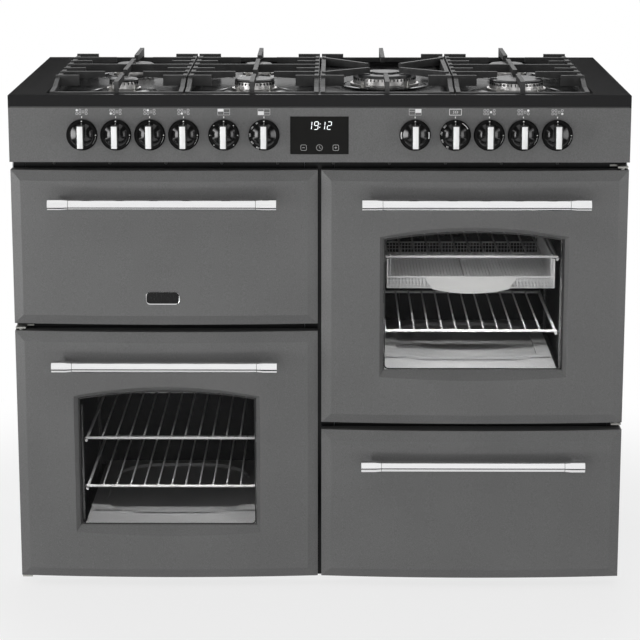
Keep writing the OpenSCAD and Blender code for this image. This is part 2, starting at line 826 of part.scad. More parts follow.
// Hairpin bars of the grill and of the main oven, and the ring round the fan
module heating_elements() {
  color("gray") {
    in_place(main_x, grill_floor + grill_h - 22) hairpins(6, 320, 330, 380);
    in_place(main_x, main_floor + oven_h - 22) hairpins(4, 240, 360, oven_d);
    in_place(right_x, right_floor + oven_h / 2) {
      translate([0, cavity_end - 26, 0]) rotate([90, 0, 0])
        rotate_extrude($fn = 96) translate([96, 0]) circle(d = 6.5, $fn = 48);
      for (x = [-20, 20]) rod_d(x, cavity_end - 26, cavity_end - seat, 94, 6.5);
    }
  }
}

// Bars side by side, joined at alternate ends, with both ends at the back wall
module hairpins(count, width, length, depth) {
  step = width / (count - 1);
  wall_d = cavity_d + depth - seat;
  near = wall_d - length;
  for (k = [0 : count - 1]) {
    x = k * step - width / 2;
    ends = k == 0 || k == count - 1;
    rod_d(x, near + step / 2, ends ? wall_d : wall_d - step / 2 - 12, 0, 6.5);
  }
  for (k = [0 : count - 2]) {
    x = (k + 0.5) * step - width / 2;
    front = k % 2 == 0;
    translate([x, front ? near + step / 2 : wall_d - step / 2 - 12, 0])
      rotate([0, 0, front ? 180 : 0])
        rotate_extrude(angle = 180, $fn = 64) translate([step / 2, 0]) circle(d = 6.5, $fn = 48);
  }
}

// Wire shelf at height z in the oven whose centre is x
module shelf(x, z) {
  count = floor((shelf_w - 10) / shelf_pitch);
  half = shelf_w / 2;
  in_place(x, z) {
    for (d = [shelf_front, shelf_back]) rod_x(-half, half, d, 0, rim_wire);
    for (s = [-1, 1]) rod_d(s * (half - rim_wire / 2), shelf_front, shelf_back, 0, rim_wire);
    for (k = [0 : count - 1])
      rod_d((k - (count - 1) / 2) * shelf_pitch, shelf_front - 1, shelf_back + 1, 1.5, wire);
  }
}

// Wire side racks that carry the shelves, against the oven's side walls
module side_racks(x, floor_at, heights) {
  edge = oven_w / 2 - rim_wire / 2 - seat;
  in_place(x, floor_at) for (s = [-1, 1]) {
    for (d = [shelf_front + 15, shelf_back - 15])
      rod_z(s * edge, d, seat, heights[1] + 60, rim_wire);
    for (z = heights) {
      rung = s * (shelf_w / 2 - 1);
      low = z - rim_wire - seat;
      rod_d(rung, shelf_front, shelf_back, low, rim_wire);
      for (d = [shelf_front + 15, shelf_back - 15])
        rod_x(min(rung, s * edge), max(rung, s * edge), d, low, rim_wire - 1);
    }
  }
}

module oven_shelves() {
  color("silver") {
    for (z = main_shelves) shelf(main_x, main_floor + z);
    for (z = right_shelves) shelf(right_x, right_floor + z);
    side_racks(main_x, main_floor, main_shelves);
    side_racks(right_x, right_floor, right_shelves);
  }
}

// Pale floor plates with a shallow oval dish
module oven_floor_trays() {
  half = oven_w / 2 - 12;
  color("lightgray") for (o = [[main_x, main_floor], [right_x, right_floor]])
    in_place(o[0], o[1] + seat) difference() {
      block([-half, cavity_d + 8, 0], [half, cavity_end - 8, 10]);
      translate([0, cavity_d + oven_d / 2 + 10, 4]) linear_extrude(10)
        round_plan(-half + 26, -oven_d / 2 + 60, half - 26, oven_d / 2 - 40, 90);
      block([-half + 2, cavity_d + 10, -1], [half - 2, cavity_end - 10, 2.5]);
    }
}

// Mesh basket under the right oven's upper shelf, with its front plate
module air_fry_basket() {
  half = shelf_w / 2 - 5;
  wall = 2;
  shelf_z = right_shelves[1];
  top = shelf_z - rim_wire / 2 - seat;
  low = top - 57;
  wall_top = low + 9;
  plate_top = low + 24;
  count = floor((shelf_w - 10) / shelf_pitch);
  hook_x = (count % 2 == 1 ? 3.5 : 4) * shelf_pitch;
  over = shelf_z + rim_wire / 2 + seat;
  color("silver") in_place(right_x, right_floor) {
    difference() {
      block([-half, shelf_front, low], [half, shelf_back, top]);
      block([-half + wall, shelf_front + wall, low + wall], [half - wall, shelf_back - wall, top + 1]);
      block([-half + wall, shelf_front - 1, wall_top], [half - wall, shelf_back + 1, top + 1]);
    }
    front_profile(shelf_front - 1.2, 1.2 + tiny,
      [[-84, plate_top], [-76, low + 4], [-60, low - 2], [60, low - 2], [76, low + 4], [84, plate_top]]);
    for (x = [-hook_x, hook_x], end = [[shelf_front, 1], [shelf_back, -1]]) {
      inner = end[0] + end[1] * (rim_wire / 2 + seat);
      outer = end[0] - end[1] * rim_wire / 2;
      far = inner + end[1] * wall;
      block([x - 4, min(end[0], far), low + 3], [x + 4, max(end[0], far), wall_top]);
      block([x - 4, min(inner, far), low + 3], [x + 4, max(inner, far), over + wall]);
      block([x - 4, min(outer, far), over], [x + 4, max(outer, far), over + wall]);
    }
  }
}

// Fan wheel: hub, back disc and blades
module fan_wheel() {
  blades = 10;
  color("gray") in_place(right_x, right_floor + oven_h / 2) {
    translate([0, cavity_end - 10, 0]) rotate([90, 0, 0]) {
      cylinder(h = 1.5, d = 130);
      cylinder(h = 14, d = 20);
      for (k = [0 : blades - 1]) rotate([0, 0, k * 360 / blades])
        translate([36, -1, 1.5 - tiny]) cube([27, 2, 18]);
    }
    rod_d(0, cavity_end - 12, cavity_end + 30, 0, 8);
  }
}

// Motor behind the right oven, and the perforated cover in front of the wheel
module fan_motor() {
  color("gray") in_place(right_x, right_floor + oven_h / 2) {
    difference() {
      translate([0, cavity_end + 8, 0]) rotate([-90, 0, 0]) cylinder(h = 50, d = 70);
      rod_d(0, cavity_end, cavity_end + 40, 0, 8 + 2 * fit);
    }
    difference() {
      block([-62, cavity_end + 1.5 + seat, -62], [62, cavity_end + 8 + tiny, 62]);
      rod_d(0, cavity_end, cavity_end + 10, 0, 20);
    }
    difference() {
      block([-120, cavity_end - 40, -115], [120, cavity_end - seat, 115]);
      block([-118.5, cavity_end - 38.5, -113.5], [118.5, cavity_end, 113.5]);
      for (ring = [[6, 22], [12, 42], [18, 62]], k = [0 : ring[0] - 1])
        rotate([0, k * 360 / ring[0], 0]) rod_d(ring[1], cavity_end - 42, cavity_end - 36, 0, 12);
    }
  }
}

// Flat seal round each oven opening, just clear of the closed door
module door_seals() {
  color([0.15, 0.15, 0.15]) for (o = [[main_x, main_floor, oven_w, oven_h],
      [main_x, grill_floor, grill_w, grill_h], [right_x, right_floor, oven_w, oven_h]])
    in_place(o[0], o[1]) difference() {
      block([-o[2] / 2 - 14, door_back + seat, -14], [o[2] / 2 + 14, frame_d - tiny, o[3] + 14]);
      block([-o[2] / 2 - 4, 0, -4], [o[2] / 2 + 4, frame_d + 1, o[3] + 4]);
    }
}

// Plate on the front frame that holds one vertical pin, up is 1 or -1
module pin_bracket(side, z, up) {
  x = side * (cooker_w / 2 - pin_in);
  thick = 3;
  flange = 2;
  block([x - 9, pin_d - 8, z], [x + 9, frame_d, z + thick]);
  block([x - 9 - side * 12, frame_d - flange, z], [x + 9 - side * 12, frame_d, z + thick]);
  rod_z(x, pin_d, up > 0 ? z : z - 22, up > 0 ? z + 22 : z + thick, pin_r * 2);
}

// Brackets and pins of the two oven doors and the arms of the grill door
module hinge_brackets() {
  color("silver") in_place() {
    pin_bracket(-1, low_z - 4.5, 1);
    pin_bracket(-1, low_z + oven_door_h + 3, -1);
    pin_bracket(1, right_z - 6, 1);
    pin_bracket(1, right_z + oven_door_h + 3, -1);
    for (s = [-1, 1]) {
      x = main_x + s * grill_arm_x;
      z = grill_z + grill_axis_up;
      translate([x - arm_t / 2, grill_axis_d, z]) rotate([0, 90, 0]) cylinder(h = arm_t, r = 7);
      block([x - arm_t / 2, grill_axis_d, z - 5], [x + arm_t / 2, frame_d, z + 5]);
      rod_x(x - 13, x + 13, grill_axis_d, z, pin_r * 2);
    }
  }
}

// Gas inlet at the back and the supply pipe to the rail
module gas_inlet() {
  x = cooker_w / 2 - 45;
  z = rail_z;
  color("goldenrod") in_place() {
    difference() {
      block([x - 17, back_d + sheet_t + seat, z - 17], [x + 17, hob_d - 12, z + 17]);
      rod_d(x, hob_d - 32, hob_d, z, 18.6);
    }
    difference() {
      rod_d(x, rail_d + rail_dia / 2 + seat, back_d + 5, z, rail_dia);
      rod_d(x, rail_d, back_d - 5, z, rail_dia - 3);
    }
  }
}

// Mains terminal box at the back, with its cable gland underneath
module terminal_box() {
  x = -cooker_w / 2 + 90;
  z = right_z;
  color([0.15, 0.15, 0.15]) in_place() difference() {
    union() {
      block([x - 60, back_d + sheet_t + seat, z], [x + 60, hob_d - 14, z + 100]);
      rod_z(x, back_d + 24, z - 18, z + tiny, 28);
    }
    block([x - 57, back_d + sheet_t + 3, z + 3], [x + 57, hob_d - 17, z + 97]);
    rod_z(x, back_d + 24, z - 20, z + 10, 16);
  }
}

knob(0);  // knob_1
knob(1);  // knob_2
knob(2);  // knob_3
knob(3);  // knob_4
knob(4);  // knob_5
knob(5);  // knob_6
knob(6);  // knob_7
knob(7);  // knob_8
knob(8);  // knob_9
knob(9);  // knob_10
knob(10);  // knob_11
grill_door_panel();
grill_door_liner();
grill_door_handle();
main_door_panel();
main_door_glass();
main_door_liner();
main_door_handle();
right_door_panel();
right_door_glass();
right_door_liner();
right_door_handle();
drawer_front();
drawer_box();
drawer_handle();
pan_support(0, false);  // pan_support_1
pan_support(1, false);  // pan_support_2
pan_support(2, true);  // pan_support_3
pan_support(3, false);  // pan_support_4
foot(-1, false);  // foot_1
foot(1, false);  // foot_2
foot(-1, true);  // foot_3
foot(1, true);  // foot_4
fan_wheel();
side_panel(-1);  // side_panel_left
side_panel(1);  // side_panel_right
back_panel();
base_pan();
front_frame();
fascia();
clock_glass();
gas_taps();
oven_switches();
hob_top();
burner_bodies();
burner_caps();
grill_cavity();
heating_elements();
grill_pan();
main_oven_cavity();
right_oven_cavity();
oven_shelves();
oven_floor_trays();
air_fry_basket();
fan_motor();
door_seals();
hinge_brackets();
drawer_rails();
gas_inlet();
terminal_box();
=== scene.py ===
# %% [markdown]
# # Finishing a range cooker in Blender
#
# The cooker arrives as a finished assembly: doors, knobs, burners and ovens at their real size, each in
# its own object. This notebook dresses it. It gives every sheet, casting and wire its finish, and adds
# the small pieces that make such an appliance look real: printed icons, a lit clock, bright knob grips,
# screws, spark electrodes, a basket of wire mesh. Everything is in metres, with Z up and -Y out of the
# doors.

# %% Load the assembly
import json
import math

import bmesh
import bpy
from mathutils import Matrix, Vector


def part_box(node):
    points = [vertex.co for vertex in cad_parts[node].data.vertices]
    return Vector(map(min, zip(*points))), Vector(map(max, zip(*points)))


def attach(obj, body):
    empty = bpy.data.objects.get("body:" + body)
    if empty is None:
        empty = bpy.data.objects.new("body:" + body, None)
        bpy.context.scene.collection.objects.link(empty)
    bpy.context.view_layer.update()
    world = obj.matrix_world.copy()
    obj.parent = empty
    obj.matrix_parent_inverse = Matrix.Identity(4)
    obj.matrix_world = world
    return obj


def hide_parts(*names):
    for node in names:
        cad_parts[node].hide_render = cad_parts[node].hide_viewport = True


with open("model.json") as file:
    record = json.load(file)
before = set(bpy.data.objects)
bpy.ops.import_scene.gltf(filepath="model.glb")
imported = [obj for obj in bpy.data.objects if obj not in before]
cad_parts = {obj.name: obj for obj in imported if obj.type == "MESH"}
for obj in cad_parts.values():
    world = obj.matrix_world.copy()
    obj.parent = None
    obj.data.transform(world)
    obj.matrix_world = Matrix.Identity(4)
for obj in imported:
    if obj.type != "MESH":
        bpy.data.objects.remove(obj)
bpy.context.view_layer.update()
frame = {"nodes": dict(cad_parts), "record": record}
MM = 0.001

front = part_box("fascia")[0].y
knob_boxes = [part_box(f"knob_{i}") for i in range(1, 12)]
knob_centres = [((low.x + high.x) / 2, (low.z + high.z) / 2) for low, high in knob_boxes]
rim_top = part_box("hob_top")[1].z
print("fascia front", round(front, 4), "hob rim", round(rim_top, 4), "knobs", len(knob_centres))

# %% [markdown]
# ## The camera
#
# The photograph was taken from 3.2 m in front and 1.4 m up, with the picture plane kept upright, so
# that the doors' sides stay parallel. A strong lens shift does that, but it would push the cooker out
# of every other view. So the camera tips down instead. Its place, target and lens were fitted to the
# doors' and the hob's corners, which keeps them within some ten pixels, with a slight shift left in.

# %% Camera
eye = Vector((0.025, front - 3.95, 1.417))
target = Vector((0.001, front, 0.564))
camera_data = bpy.data.cameras.new("front_camera")
camera_data.lens = 126.7
camera_data.sensor_width = 36
camera_data.shift_y = -0.05
camera = bpy.data.objects.new("front_camera", camera_data)
camera.location = eye
camera.rotation_euler = (target - eye).to_track_quat("-Z", "Y").to_euler()
bpy.context.scene.collection.objects.link(camera)
bpy.context.scene.camera = camera
bpy.context.scene.view_settings.view_transform = "Standard"
tip = math.degrees(math.atan2(eye.z - target.z, target.y - eye.y))
print("camera", round((target - eye).length, 2), "m from its target, tipped down by", round(tip, 1))

# %% [markdown]
# ## Shader maths that reads like maths
#
# A finish needs a lot of small sums: a mask, a grain, a fade. Wiring Math nodes by hand hides what they
# mean, so one class wraps an output socket and overloads Python's operators. A second class owns a node
# tree and adds any other node in one call.

# %% Sockets and trees
class Wire:
    """An output socket that works in ordinary arithmetic."""

    def __init__(self, tree, socket):
        self.tree = tree
        self.socket = socket

    def maths(self, operation, *values):
        return self.tree.add("ShaderNodeMath", {"operation": operation}, dict(enumerate(values)))

    def __add__(self, other):
        return self.maths("ADD", self, other)

    def __sub__(self, other):
        return self.maths("SUBTRACT", self, other)

    def __rsub__(self, other):
        return self.maths("SUBTRACT", other, self)

    def __mul__(self, other):
        return self.maths("MULTIPLY", self, other)

    def __pow__(self, other):
        return self.maths("POWER", self, other)

    def __gt__(self, other):
        return self.maths("GREATER_THAN", self, other)

    def __lt__(self, other):
        return self.maths("LESS_THAN", self, other)

    __radd__ = __add__
    __rmul__ = __mul__


class Tree:
    """A node tree with one call for every kind of node."""

    def __init__(self, node_tree):
        self.nodes = node_tree.nodes
        self.links = node_tree.links

    def add(self, kind, settings=None, values=None, out=0):
        """Adds a node: settings are its properties, values are numbers or links for its sockets."""
        node = self.nodes.new(kind)
        for name, value in (settings or {}).items():
            setattr(node, name, value)
        for socket, value in (values or {}).items():
            self.put(node.inputs[socket], value)
        return Wire(self, node.outputs[out]) if node.outputs else None

    def put(self, socket, value):
        if isinstance(value, Wire):
            self.links.new(value.socket, socket)
        else:
            socket.default_value = value

    def mix(self, mask, *colours):
        """The first colour where the mask is 0, the second where it is 1."""
        first, second = [(*colour, 1) if isinstance(colour, tuple) else colour for colour in colours]
        return self.add("ShaderNodeMix", {"data_type": "RGBA"}, {0: mask, 6: first, 7: second}, 2)

    def ramp(self, value, low, high):
        """0 below low, 1 above high and smooth between them."""
        return self.add("ShaderNodeMapRange", {"interpolation_type": "SMOOTHSTEP"},
                        {0: value, 1: low, 2: high})


class Finish(Tree):
    """A material: its shader's sockets are set by name, and its patterns sit on Object coordinates."""

    made = {}

    def __init__(self, name, **sockets):
        self.material = bpy.data.materials.new(name)
        self.material.use_nodes = True
        super().__init__(self.material.node_tree)
        self.shader = self.nodes["Principled BSDF"]
        self.here = self.add("ShaderNodeTexCoord", out="Object")
        Finish.made[name] = self.material
        self.set(**sockets)

    def set(self, **sockets):
        for name, value in sockets.items():
            if isinstance(value, tuple) and len(value) == 3:
                value = (*value, 1)
            self.put(self.shader.inputs[name.replace("_", " ")], value)

    def noise(self, scale, detail, stretch=(1, 1, 1)):
        spot = self.add("ShaderNodeMapping", {"vector_type": "POINT"},
                        {"Vector": self.here, "Scale": stretch})
        return self.add("ShaderNodeTexNoise", None, {"Vector": spot, "Scale": scale, "Detail": detail})

    def specks(self, scale, size):
        """Round specks of about size cells, one a cell."""
        cells = self.add("ShaderNodeTexVoronoi", None, {"Vector": self.here, "Scale": scale})
        return 1 - self.ramp(cells, size * 0.6, size)

    def bump(self, height, depth):
        self.set(Normal=self.add("ShaderNodeBump", None, {"Distance": depth, "Height": height}))

    def axes(self):
        """The Object coordinates X, Y and Z."""
        split = self.add("ShaderNodeSeparateXYZ", None, {0: self.here}).socket.node
        return [Wire(self, split.outputs[k]) for k in range(3)]

    def from_line(self, x, y):
        """How far a point lies from the upright line through x and y."""
        across, along, _ = self.axes()
        return ((across - x) * (across - x) + (along - y) * (along - y)) ** 0.5


# %% [markdown]
# ## Light and floor
#
# In the photograph each handle's shadow lies level with it or just above it, so the light comes from
# the front, out of a wide soft lamp at door height and a long low one near the floor. Strips at both
# sides round off the grips, and one lamp above and one behind reach the hob and the back. The white
# studio comes from the world and the floor: both look white to the camera and to mirror-like rays, so
# chrome has something bright to reflect, while the object itself is lit at a plain level.

# %% Lights
def soft_lamp(name, place, aim, size, power, in_gloss=False, spread=180):
    """A rectangular lamp whose own reflection shows only if in_gloss is set."""
    data = bpy.data.lights.new(name, "AREA")
    data.shape = "RECTANGLE"
    data.size, data.size_y = size
    data.energy = power
    data.spread = math.radians(spread)
    lamp = bpy.data.objects.new(name, data)
    lamp.location = place
    lamp.rotation_euler = (Vector(aim) - Vector(place)).to_track_quat("-Z", "Y").to_euler()
    lamp.visible_camera = False
    lamp.visible_glossy = in_gloss
    lamp.visible_transmission = in_gloss
    bpy.context.scene.collection.objects.link(lamp)
    return lamp


soft_lamp("front_lamp", (-0.3, -4.4, 0.75), (0, 0, 0.4), (3.0, 1.6), 30)
soft_lamp("low_lamp", (-0.1, -2.3, 0.1), (0, front, 0.5), (2.2, 0.16), 9)
soft_lamp("high_lamp", (-0.4, -1.9, 2.6), (0, 0, 0.5), (1.5, 0.8), 7)
soft_lamp("left_strip", (-2.2, -1.9, 0.55), (-0.4, -0.25, 0.35), (0.5, 1.1), 15)
soft_lamp("right_strip", (2.2, -1.9, 0.55), (0.4, -0.25, 0.35), (0.5, 1.1), 9)
soft_lamp("back_lamp", (0, 2.4, 2.4), (0, 0, 0.8), (2.0, 0.8), 20, in_gloss=True)
print(len(bpy.data.lights), "studio lamps")

# %% White surroundings
plain_level = 0.26


def rays_that_see_white(tree):
    """1 for rays from the camera, from gloss and through glass, and 0 for scattered light."""
    sight = tree.add("ShaderNodeLightPath").socket.node.outputs
    camera_ray, gloss, glass = (Wire(tree, sight[f"Is {kind} Ray"])
                                for kind in ("Camera", "Glossy", "Transmission"))
    return (camera_ray + gloss + glass) > 0.5


world = bpy.data.worlds.new("white_studio")
world.use_nodes = True
bpy.context.scene.world = world
sky = Tree(world.node_tree)
sky.nodes.clear()
ambient = sky.add("ShaderNodeBackground", None, {"Color": (1, 1, 1, 1), "Strength": plain_level})
white = sky.add("ShaderNodeBackground", None, {"Color": (1, 1, 1, 1), "Strength": 1.0})
blend = sky.add("ShaderNodeMixShader", None, {0: rays_that_see_white(sky), 1: ambient, 2: white})
sky.add("ShaderNodeOutputWorld", None, {"Surface": blend})

# %% Floor finish
# Near the cooker about a quarter of the floor's own shading shows, and with it the soft shadow.
floor_finish = Finish("studio_floor", Base_Color=(0.9, 0.9, 0.9), Roughness=0.9, Specular_IOR_Level=0.1)
white_near, white_from, white_to = 0.74, 0.6, 1.3
far_off = floor_finish.ramp(floor_finish.from_line(0, 0), white_from, white_to)
whiteness = (white_near + (1 - white_near) * far_off) * rays_that_see_white(floor_finish)
glow = floor_finish.add("ShaderNodeEmission", None, {"Color": (1, 1, 1, 1), "Strength": 1.0})
shaded = Wire(floor_finish, floor_finish.shader.outputs[0])
mixed = floor_finish.add("ShaderNodeMixShader", None, {0: whiteness, 1: shaded, 2: glow})
floor_finish.put(floor_finish.nodes["Material Output"].inputs["Surface"], mixed)

# %% Floor
def as_object(name, shape, finish):
    """Closes a bmesh into an object with one finish."""
    mesh = bpy.data.meshes.new(name)
    shape.to_mesh(mesh)
    shape.free()
    mesh.materials.append(finish.material)
    made = bpy.data.objects.new(name, mesh)
    bpy.context.scene.collection.objects.link(made)
    return made


floor_shape = bmesh.new()
bmesh.ops.create_circle(floor_shape, cap_ends=True, segments=96, radius=30)
as_object("floor", floor_shape, floor_finish)

# %% [markdown]
# ### Cards
#
# Gloss black looks black only if it has something dark to reflect, and a pale patch on it is the
# reflection of a soft box. A photographer stands black cards round such a thing and leaves a lit one in
# between. Black cards behind the cooker darken the hob's rim and its back half, and leave some pale
# reflections in the front of its well. A strip on the floor in front draws the thin dark line along
# the lower edge of every chrome bar, and two more lie at the sides. A tall black wall at each side holds
# a glowing card, whose reflection is the patch beside every grip. All of them are hidden from the camera
# and from plain light, and only mirror-like rays meet them.

# %% Card finishes
black = Finish("black_card", Base_Color=(0.02, 0.02, 0.02), Roughness=0.9)
knob_line = knob_centres[0][1]


def glowing(name, strength):
    """A card finish that is brightest at the knobs' height and fades up and down."""
    finish = Finish(name, Base_Color=(0, 0, 0), Roughness=1.0, Emission_Strength=strength)
    above = finish.axes()[2] - knob_line
    off_level = above.maths("ABSOLUTE", above)
    fade = finish.ramp(off_level, 0.3, 1.2)
    finish.set(Emission_Color=finish.mix(fade, (1, 1, 1), (0, 0, 0)))
    return finish


# %% A card that only gloss sees
def rectangle(shape, place, size, turn):
    """Adds one flat face, centred on a place, and gives its corners."""
    placed = Matrix.Translation(place) @ turn @ Matrix.Diagonal((*size, 1, 1))
    return bmesh.ops.create_grid(shape, x_segments=1, y_segments=1, size=0.5, matrix=placed)["verts"]


def card(name, place, size, turn=Matrix(), finish=black):
    """A flat card in the studio that only mirror-like rays meet."""
    shape = bmesh.new()
    rectangle(shape, place, size, turn)
    made = as_object(name, shape, finish)
    for rays in ("camera", "diffuse", "shadow", "transmission"):
        setattr(made, f"visible_{rays}", False)
    print(name, "card", size)


def rotation(degrees, axis):
    """A turn about one of the axes X, Y and Z."""
    return Matrix.Rotation(math.radians(degrees), 4, axis)


UPRIGHT = rotation(90, "X")
SIDEWAYS = rotation(90, "Y")

# %% Place the cards
card("back_card", (0, 2.6, 1.03), (1.78, 0.37), UPRIGHT)
for side in (-1, 1):
    card(f"back_card_{side + 1}", (side * 1.53, 2.6, 1.5), (1.7, 1.3), UPRIGHT)
card("floor_strip", (0, front - 0.56, 0.002), (2.4, 0.44))
for side, strength in ((-1, 7.5), (1, 3.2)):
    card(f"side_wall_{side + 1}", (side * 2.05, front - 2.7, 1.9), (3.8, 5.3), SIDEWAYS)
    card(f"side_floor_{side + 1}", (side * 1.45, front - 1.7, 0.002), (1.1, 3.2))
    glow_finish = glowing(f"glow_card_{side + 1}", strength)
    card(f"side_glow_{side + 1}", (side * 2.0, front - 1.3, 0.95), (1.9, 1.9), SIDEWAYS, glow_finish)

# %% [markdown]
# ## Painted steel
#
# The doors, the drawer and the fascia are coated in a satin anthracite with a fine grain that sparkles
# slightly. A fine noise drives the colour and a very shallow bump, and a slow one keeps the big panels
# from looking flat. A picture of paint would repeat itself on panels this wide, and noise doesn't. The
# carcass behind is plain galvanised sheet with its soft crystal pattern, the liners are brushed and the
# brackets plated.

# %% Grey enamel
grey = Finish("enamel_grey", Specular_IOR_Level=0.3)
grain = grey.noise(900, 3)
drift = grey.noise(7, 1)
grey.set(Base_Color=grey.mix(grey.ramp(grain * 0.85 + drift * 0.15, 0.36, 0.64),
                             (0.096, 0.096, 0.096), (0.137, 0.137, 0.137)),
         Roughness=0.42 + 0.1 * grain)
grey.bump(grain, 0.08 * MM)

# %% Galvanised sheet
galvanised = Finish("galvanised", Metallic=1.0)
cells = {"Vector": galvanised.here, "Scale": 70}
crystals = galvanised.add("ShaderNodeTexVoronoi", None, cells, "Color")
tone = galvanised.add("ShaderNodeSeparateColor", None, {0: crystals})
galvanised.set(Base_Color=galvanised.mix(tone, (0.4, 0.41, 0.42), (0.52, 0.53, 0.54)),
               Roughness=0.34 + 0.18 * tone)

# %% Brushed and plated steel
def toned(name, dark, light, rough, grain, depth, **sockets):
    """A finish whose colour, roughness and bump follow one noise.

    rough is the roughness where the noise is 0 and how much it adds, grain is what noise() takes.
    """
    finish = Finish(name, **sockets)
    texture = finish.noise(*grain)
    finish.set(Base_Color=finish.mix(texture, dark, light), Roughness=rough[0] + rough[1] * texture)
    finish.bump(texture, depth)
    return finish


toned("liner_steel", (0.2, 0.2, 0.2), (0.34, 0.34, 0.34), (0.3, 0.2), (60, 3, (1, 1, 12)), 0.04 * MM,
      Metallic=0.8)
zinc = toned("bracket_steel", (0.36, 0.36, 0.34), (0.5, 0.5, 0.47), (0.3, 0.2), (140, 3), 0.03 * MM,
             Metallic=1.0)

# %% [markdown]
# ## Enamel, glass and cast iron
#
# The hob is one pressing in glossy black enamel, with a shallow dish round every burner. The assembly's
# shapes aren't cut here, so the bump adds up a smooth ring for each burner instead, which bends the
# reflections in the same way. Oven enamel is duller, with the pale specks that hide wear. The pan
# supports are cast iron under a matt coat: their surface is coarse, and the coat is slightly paler in
# patches, as if rubbed by pans. The window panes are almost clear, and the clock's glass is black.

# %% Burner places
hob_low, hob_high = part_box("hob_top")
support_boxes = [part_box(f"pan_support_{i}") for i in range(1, 5)]
support_x = [(low.x + high.x) / 2 for low, high in support_boxes]
cap_sizes = {"small": 53 * MM, "medium": 73 * MM, "rapid": 98 * MM, "wok": 117 * MM}
front_row, back_row = front + 170 * MM, front + 412 * MM
wok_row = (hob_low.y + hob_high.y) / 2 - 50 * MM
burners = [(support_x[0], front_row, cap_sizes["small"]), (support_x[0], back_row, cap_sizes["medium"]),
           (support_x[1], front_row, cap_sizes["medium"]), (support_x[1], back_row, cap_sizes["small"]),
           (support_x[2], wok_row, cap_sizes["wok"]),
           (support_x[3], front_row, cap_sizes["rapid"]), (support_x[3], back_row, cap_sizes["medium"])]
print("burners at", [(round(x, 3), round(y, 3)) for x, y, _ in burners])

# %% Hob enamel
hob = Finish("enamel_black", Base_Color=(0.008, 0.008, 0.0085), Specular_IOR_Level=0.18)
dish_from, dish_to, dish_deep = 22 * MM, 38 * MM, 4 * MM
ripple_deep = 0.12 * MM
dishes = 0
for x, y, cap_size in burners:
    edge = cap_size / 2
    dishes = dishes + hob.ramp(hob.from_line(x, y), edge + dish_from, edge + dish_to)
ripple = hob.noise(45, 1)
hob.set(Roughness=0.16 + 0.06 * ripple)
hob.bump(dishes * dish_deep + ripple * ripple_deep, 1.0)

# %% Oven enamel
oven = Finish("oven_enamel", Specular_IOR_Level=0.3)
fleck = oven.specks(420, 0.12) * (oven.noise(130, 1) > 0.56)
oven.set(Base_Color=oven.mix(fleck, (0.009, 0.009, 0.01), (0.06, 0.06, 0.066)),
         Roughness=0.34 + 0.1 * oven.noise(60, 2))
oven.bump(oven.noise(90, 2), 0.15 * MM)

# The caps' enamel also colours the dark tabs that paint the shade in the burners' port slots.
cap_enamel = Finish("cap_enamel")
fleck = cap_enamel.specks(900, 0.3)
cap_enamel.set(Base_Color=cap_enamel.mix(fleck, (0.02, 0.02, 0.021), (0.08, 0.08, 0.08)),
               Roughness=0.28 + 0.16 * cap_enamel.noise(300, 2))
cap_enamel.bump(cap_enamel.noise(500, 3), 0.12 * MM)

# %% Cast iron
iron = Finish("cast_iron", Specular_IOR_Level=0.35)
pits = iron.noise(420, 4)
rubbed = iron.ramp(iron.noise(30, 2), 0.35, 0.7)
iron.set(Base_Color=iron.mix(rubbed, (0.034, 0.034, 0.034), (0.058, 0.058, 0.058)),
         Roughness=0.46 + 0.25 * pits)
iron.bump(pits, 0.4 * MM)

# %% Glass
glass = Finish("glass", Base_Color=(0.02, 0.02, 0.02), Alpha=0.06, Specular_IOR_Level=0.1)
glass.set(Roughness=0.02 + 0.03 * glass.noise(12, 2))

clock = Finish("clock_glass", Specular_IOR_Level=0.06)
cloud = clock.noise(30, 2)
clock.set(Base_Color=clock.mix(cloud, (0.01, 0.01, 0.0095), (0.012, 0.012, 0.0115)),
          Roughness=0.12 + 0.06 * cloud)

# %% [markdown]
# ## Bright metal
#
# The handles are polished chrome: almost a mirror, with faint wipe marks along the bar. The oven wire
# has a thinner, duller plating, and the racks that hold the shelves at the sides are much darker. One
# material serves both, with a mask on the distance from each oven's middle. Knob faces, the basket's
# grip plate and the ovens' floor plates are satin. Burner bodies are turned aluminium, so their grain
# runs round each axis: fine rings on the distance from the burner stand in for the tool marks.

# %% Chrome and oven wire
chrome = toned("chrome", (0.78, 0.78, 0.79), (0.88, 0.88, 0.88), (0.07, 0.08), (300, 3, (0.06, 1, 1)),
               0.01 * MM, Metallic=1.0)

plating = Finish("wire_chrome", Metallic=0.15)
wear = plating.noise(240, 3)
across = plating.axes()[0]
shelf_half = 161 * MM
on_shelf = 0
for cavity in ("main_oven_cavity", "right_oven_cavity"):
    cavity_low, cavity_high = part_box(cavity)
    off_centre = across - (cavity_low.x + cavity_high.x) / 2
    on_shelf = on_shelf + (off_centre.maths("ABSOLUTE", off_centre) < shelf_half)
bright_wire = plating.mix(wear, (0.62, 0.62, 0.62), (0.78, 0.78, 0.78))
# Wire further than shelf_half from an oven's middle, where the side racks hang, is much darker.
plating.set(Base_Color=plating.mix(on_shelf, (0.1, 0.1, 0.1), bright_wire),
            Roughness=0.22 + 0.16 * wear)
plating.bump(wear, 0.02 * MM)

# %% Satin and pressed steel
grip_metal = toned("grip_metal", (0.76, 0.76, 0.76), (0.84, 0.84, 0.84), (0.36, 0.1),
                   (400, 2, (1, 1, 0.1)), 0.01 * MM, Metallic=0.5)
pressed = toned("pressed_steel", (0.68, 0.68, 0.67), (0.8, 0.8, 0.79), (0.3, 0.15),
                (90, 3, (0.1, 1, 1)), 0.02 * MM, Metallic=0.45)
toned("floor_plate", (0.46, 0.46, 0.46), (0.56, 0.56, 0.56), (0.42, 0.2), (40, 4), 0.1 * MM,
      Metallic=0.15)

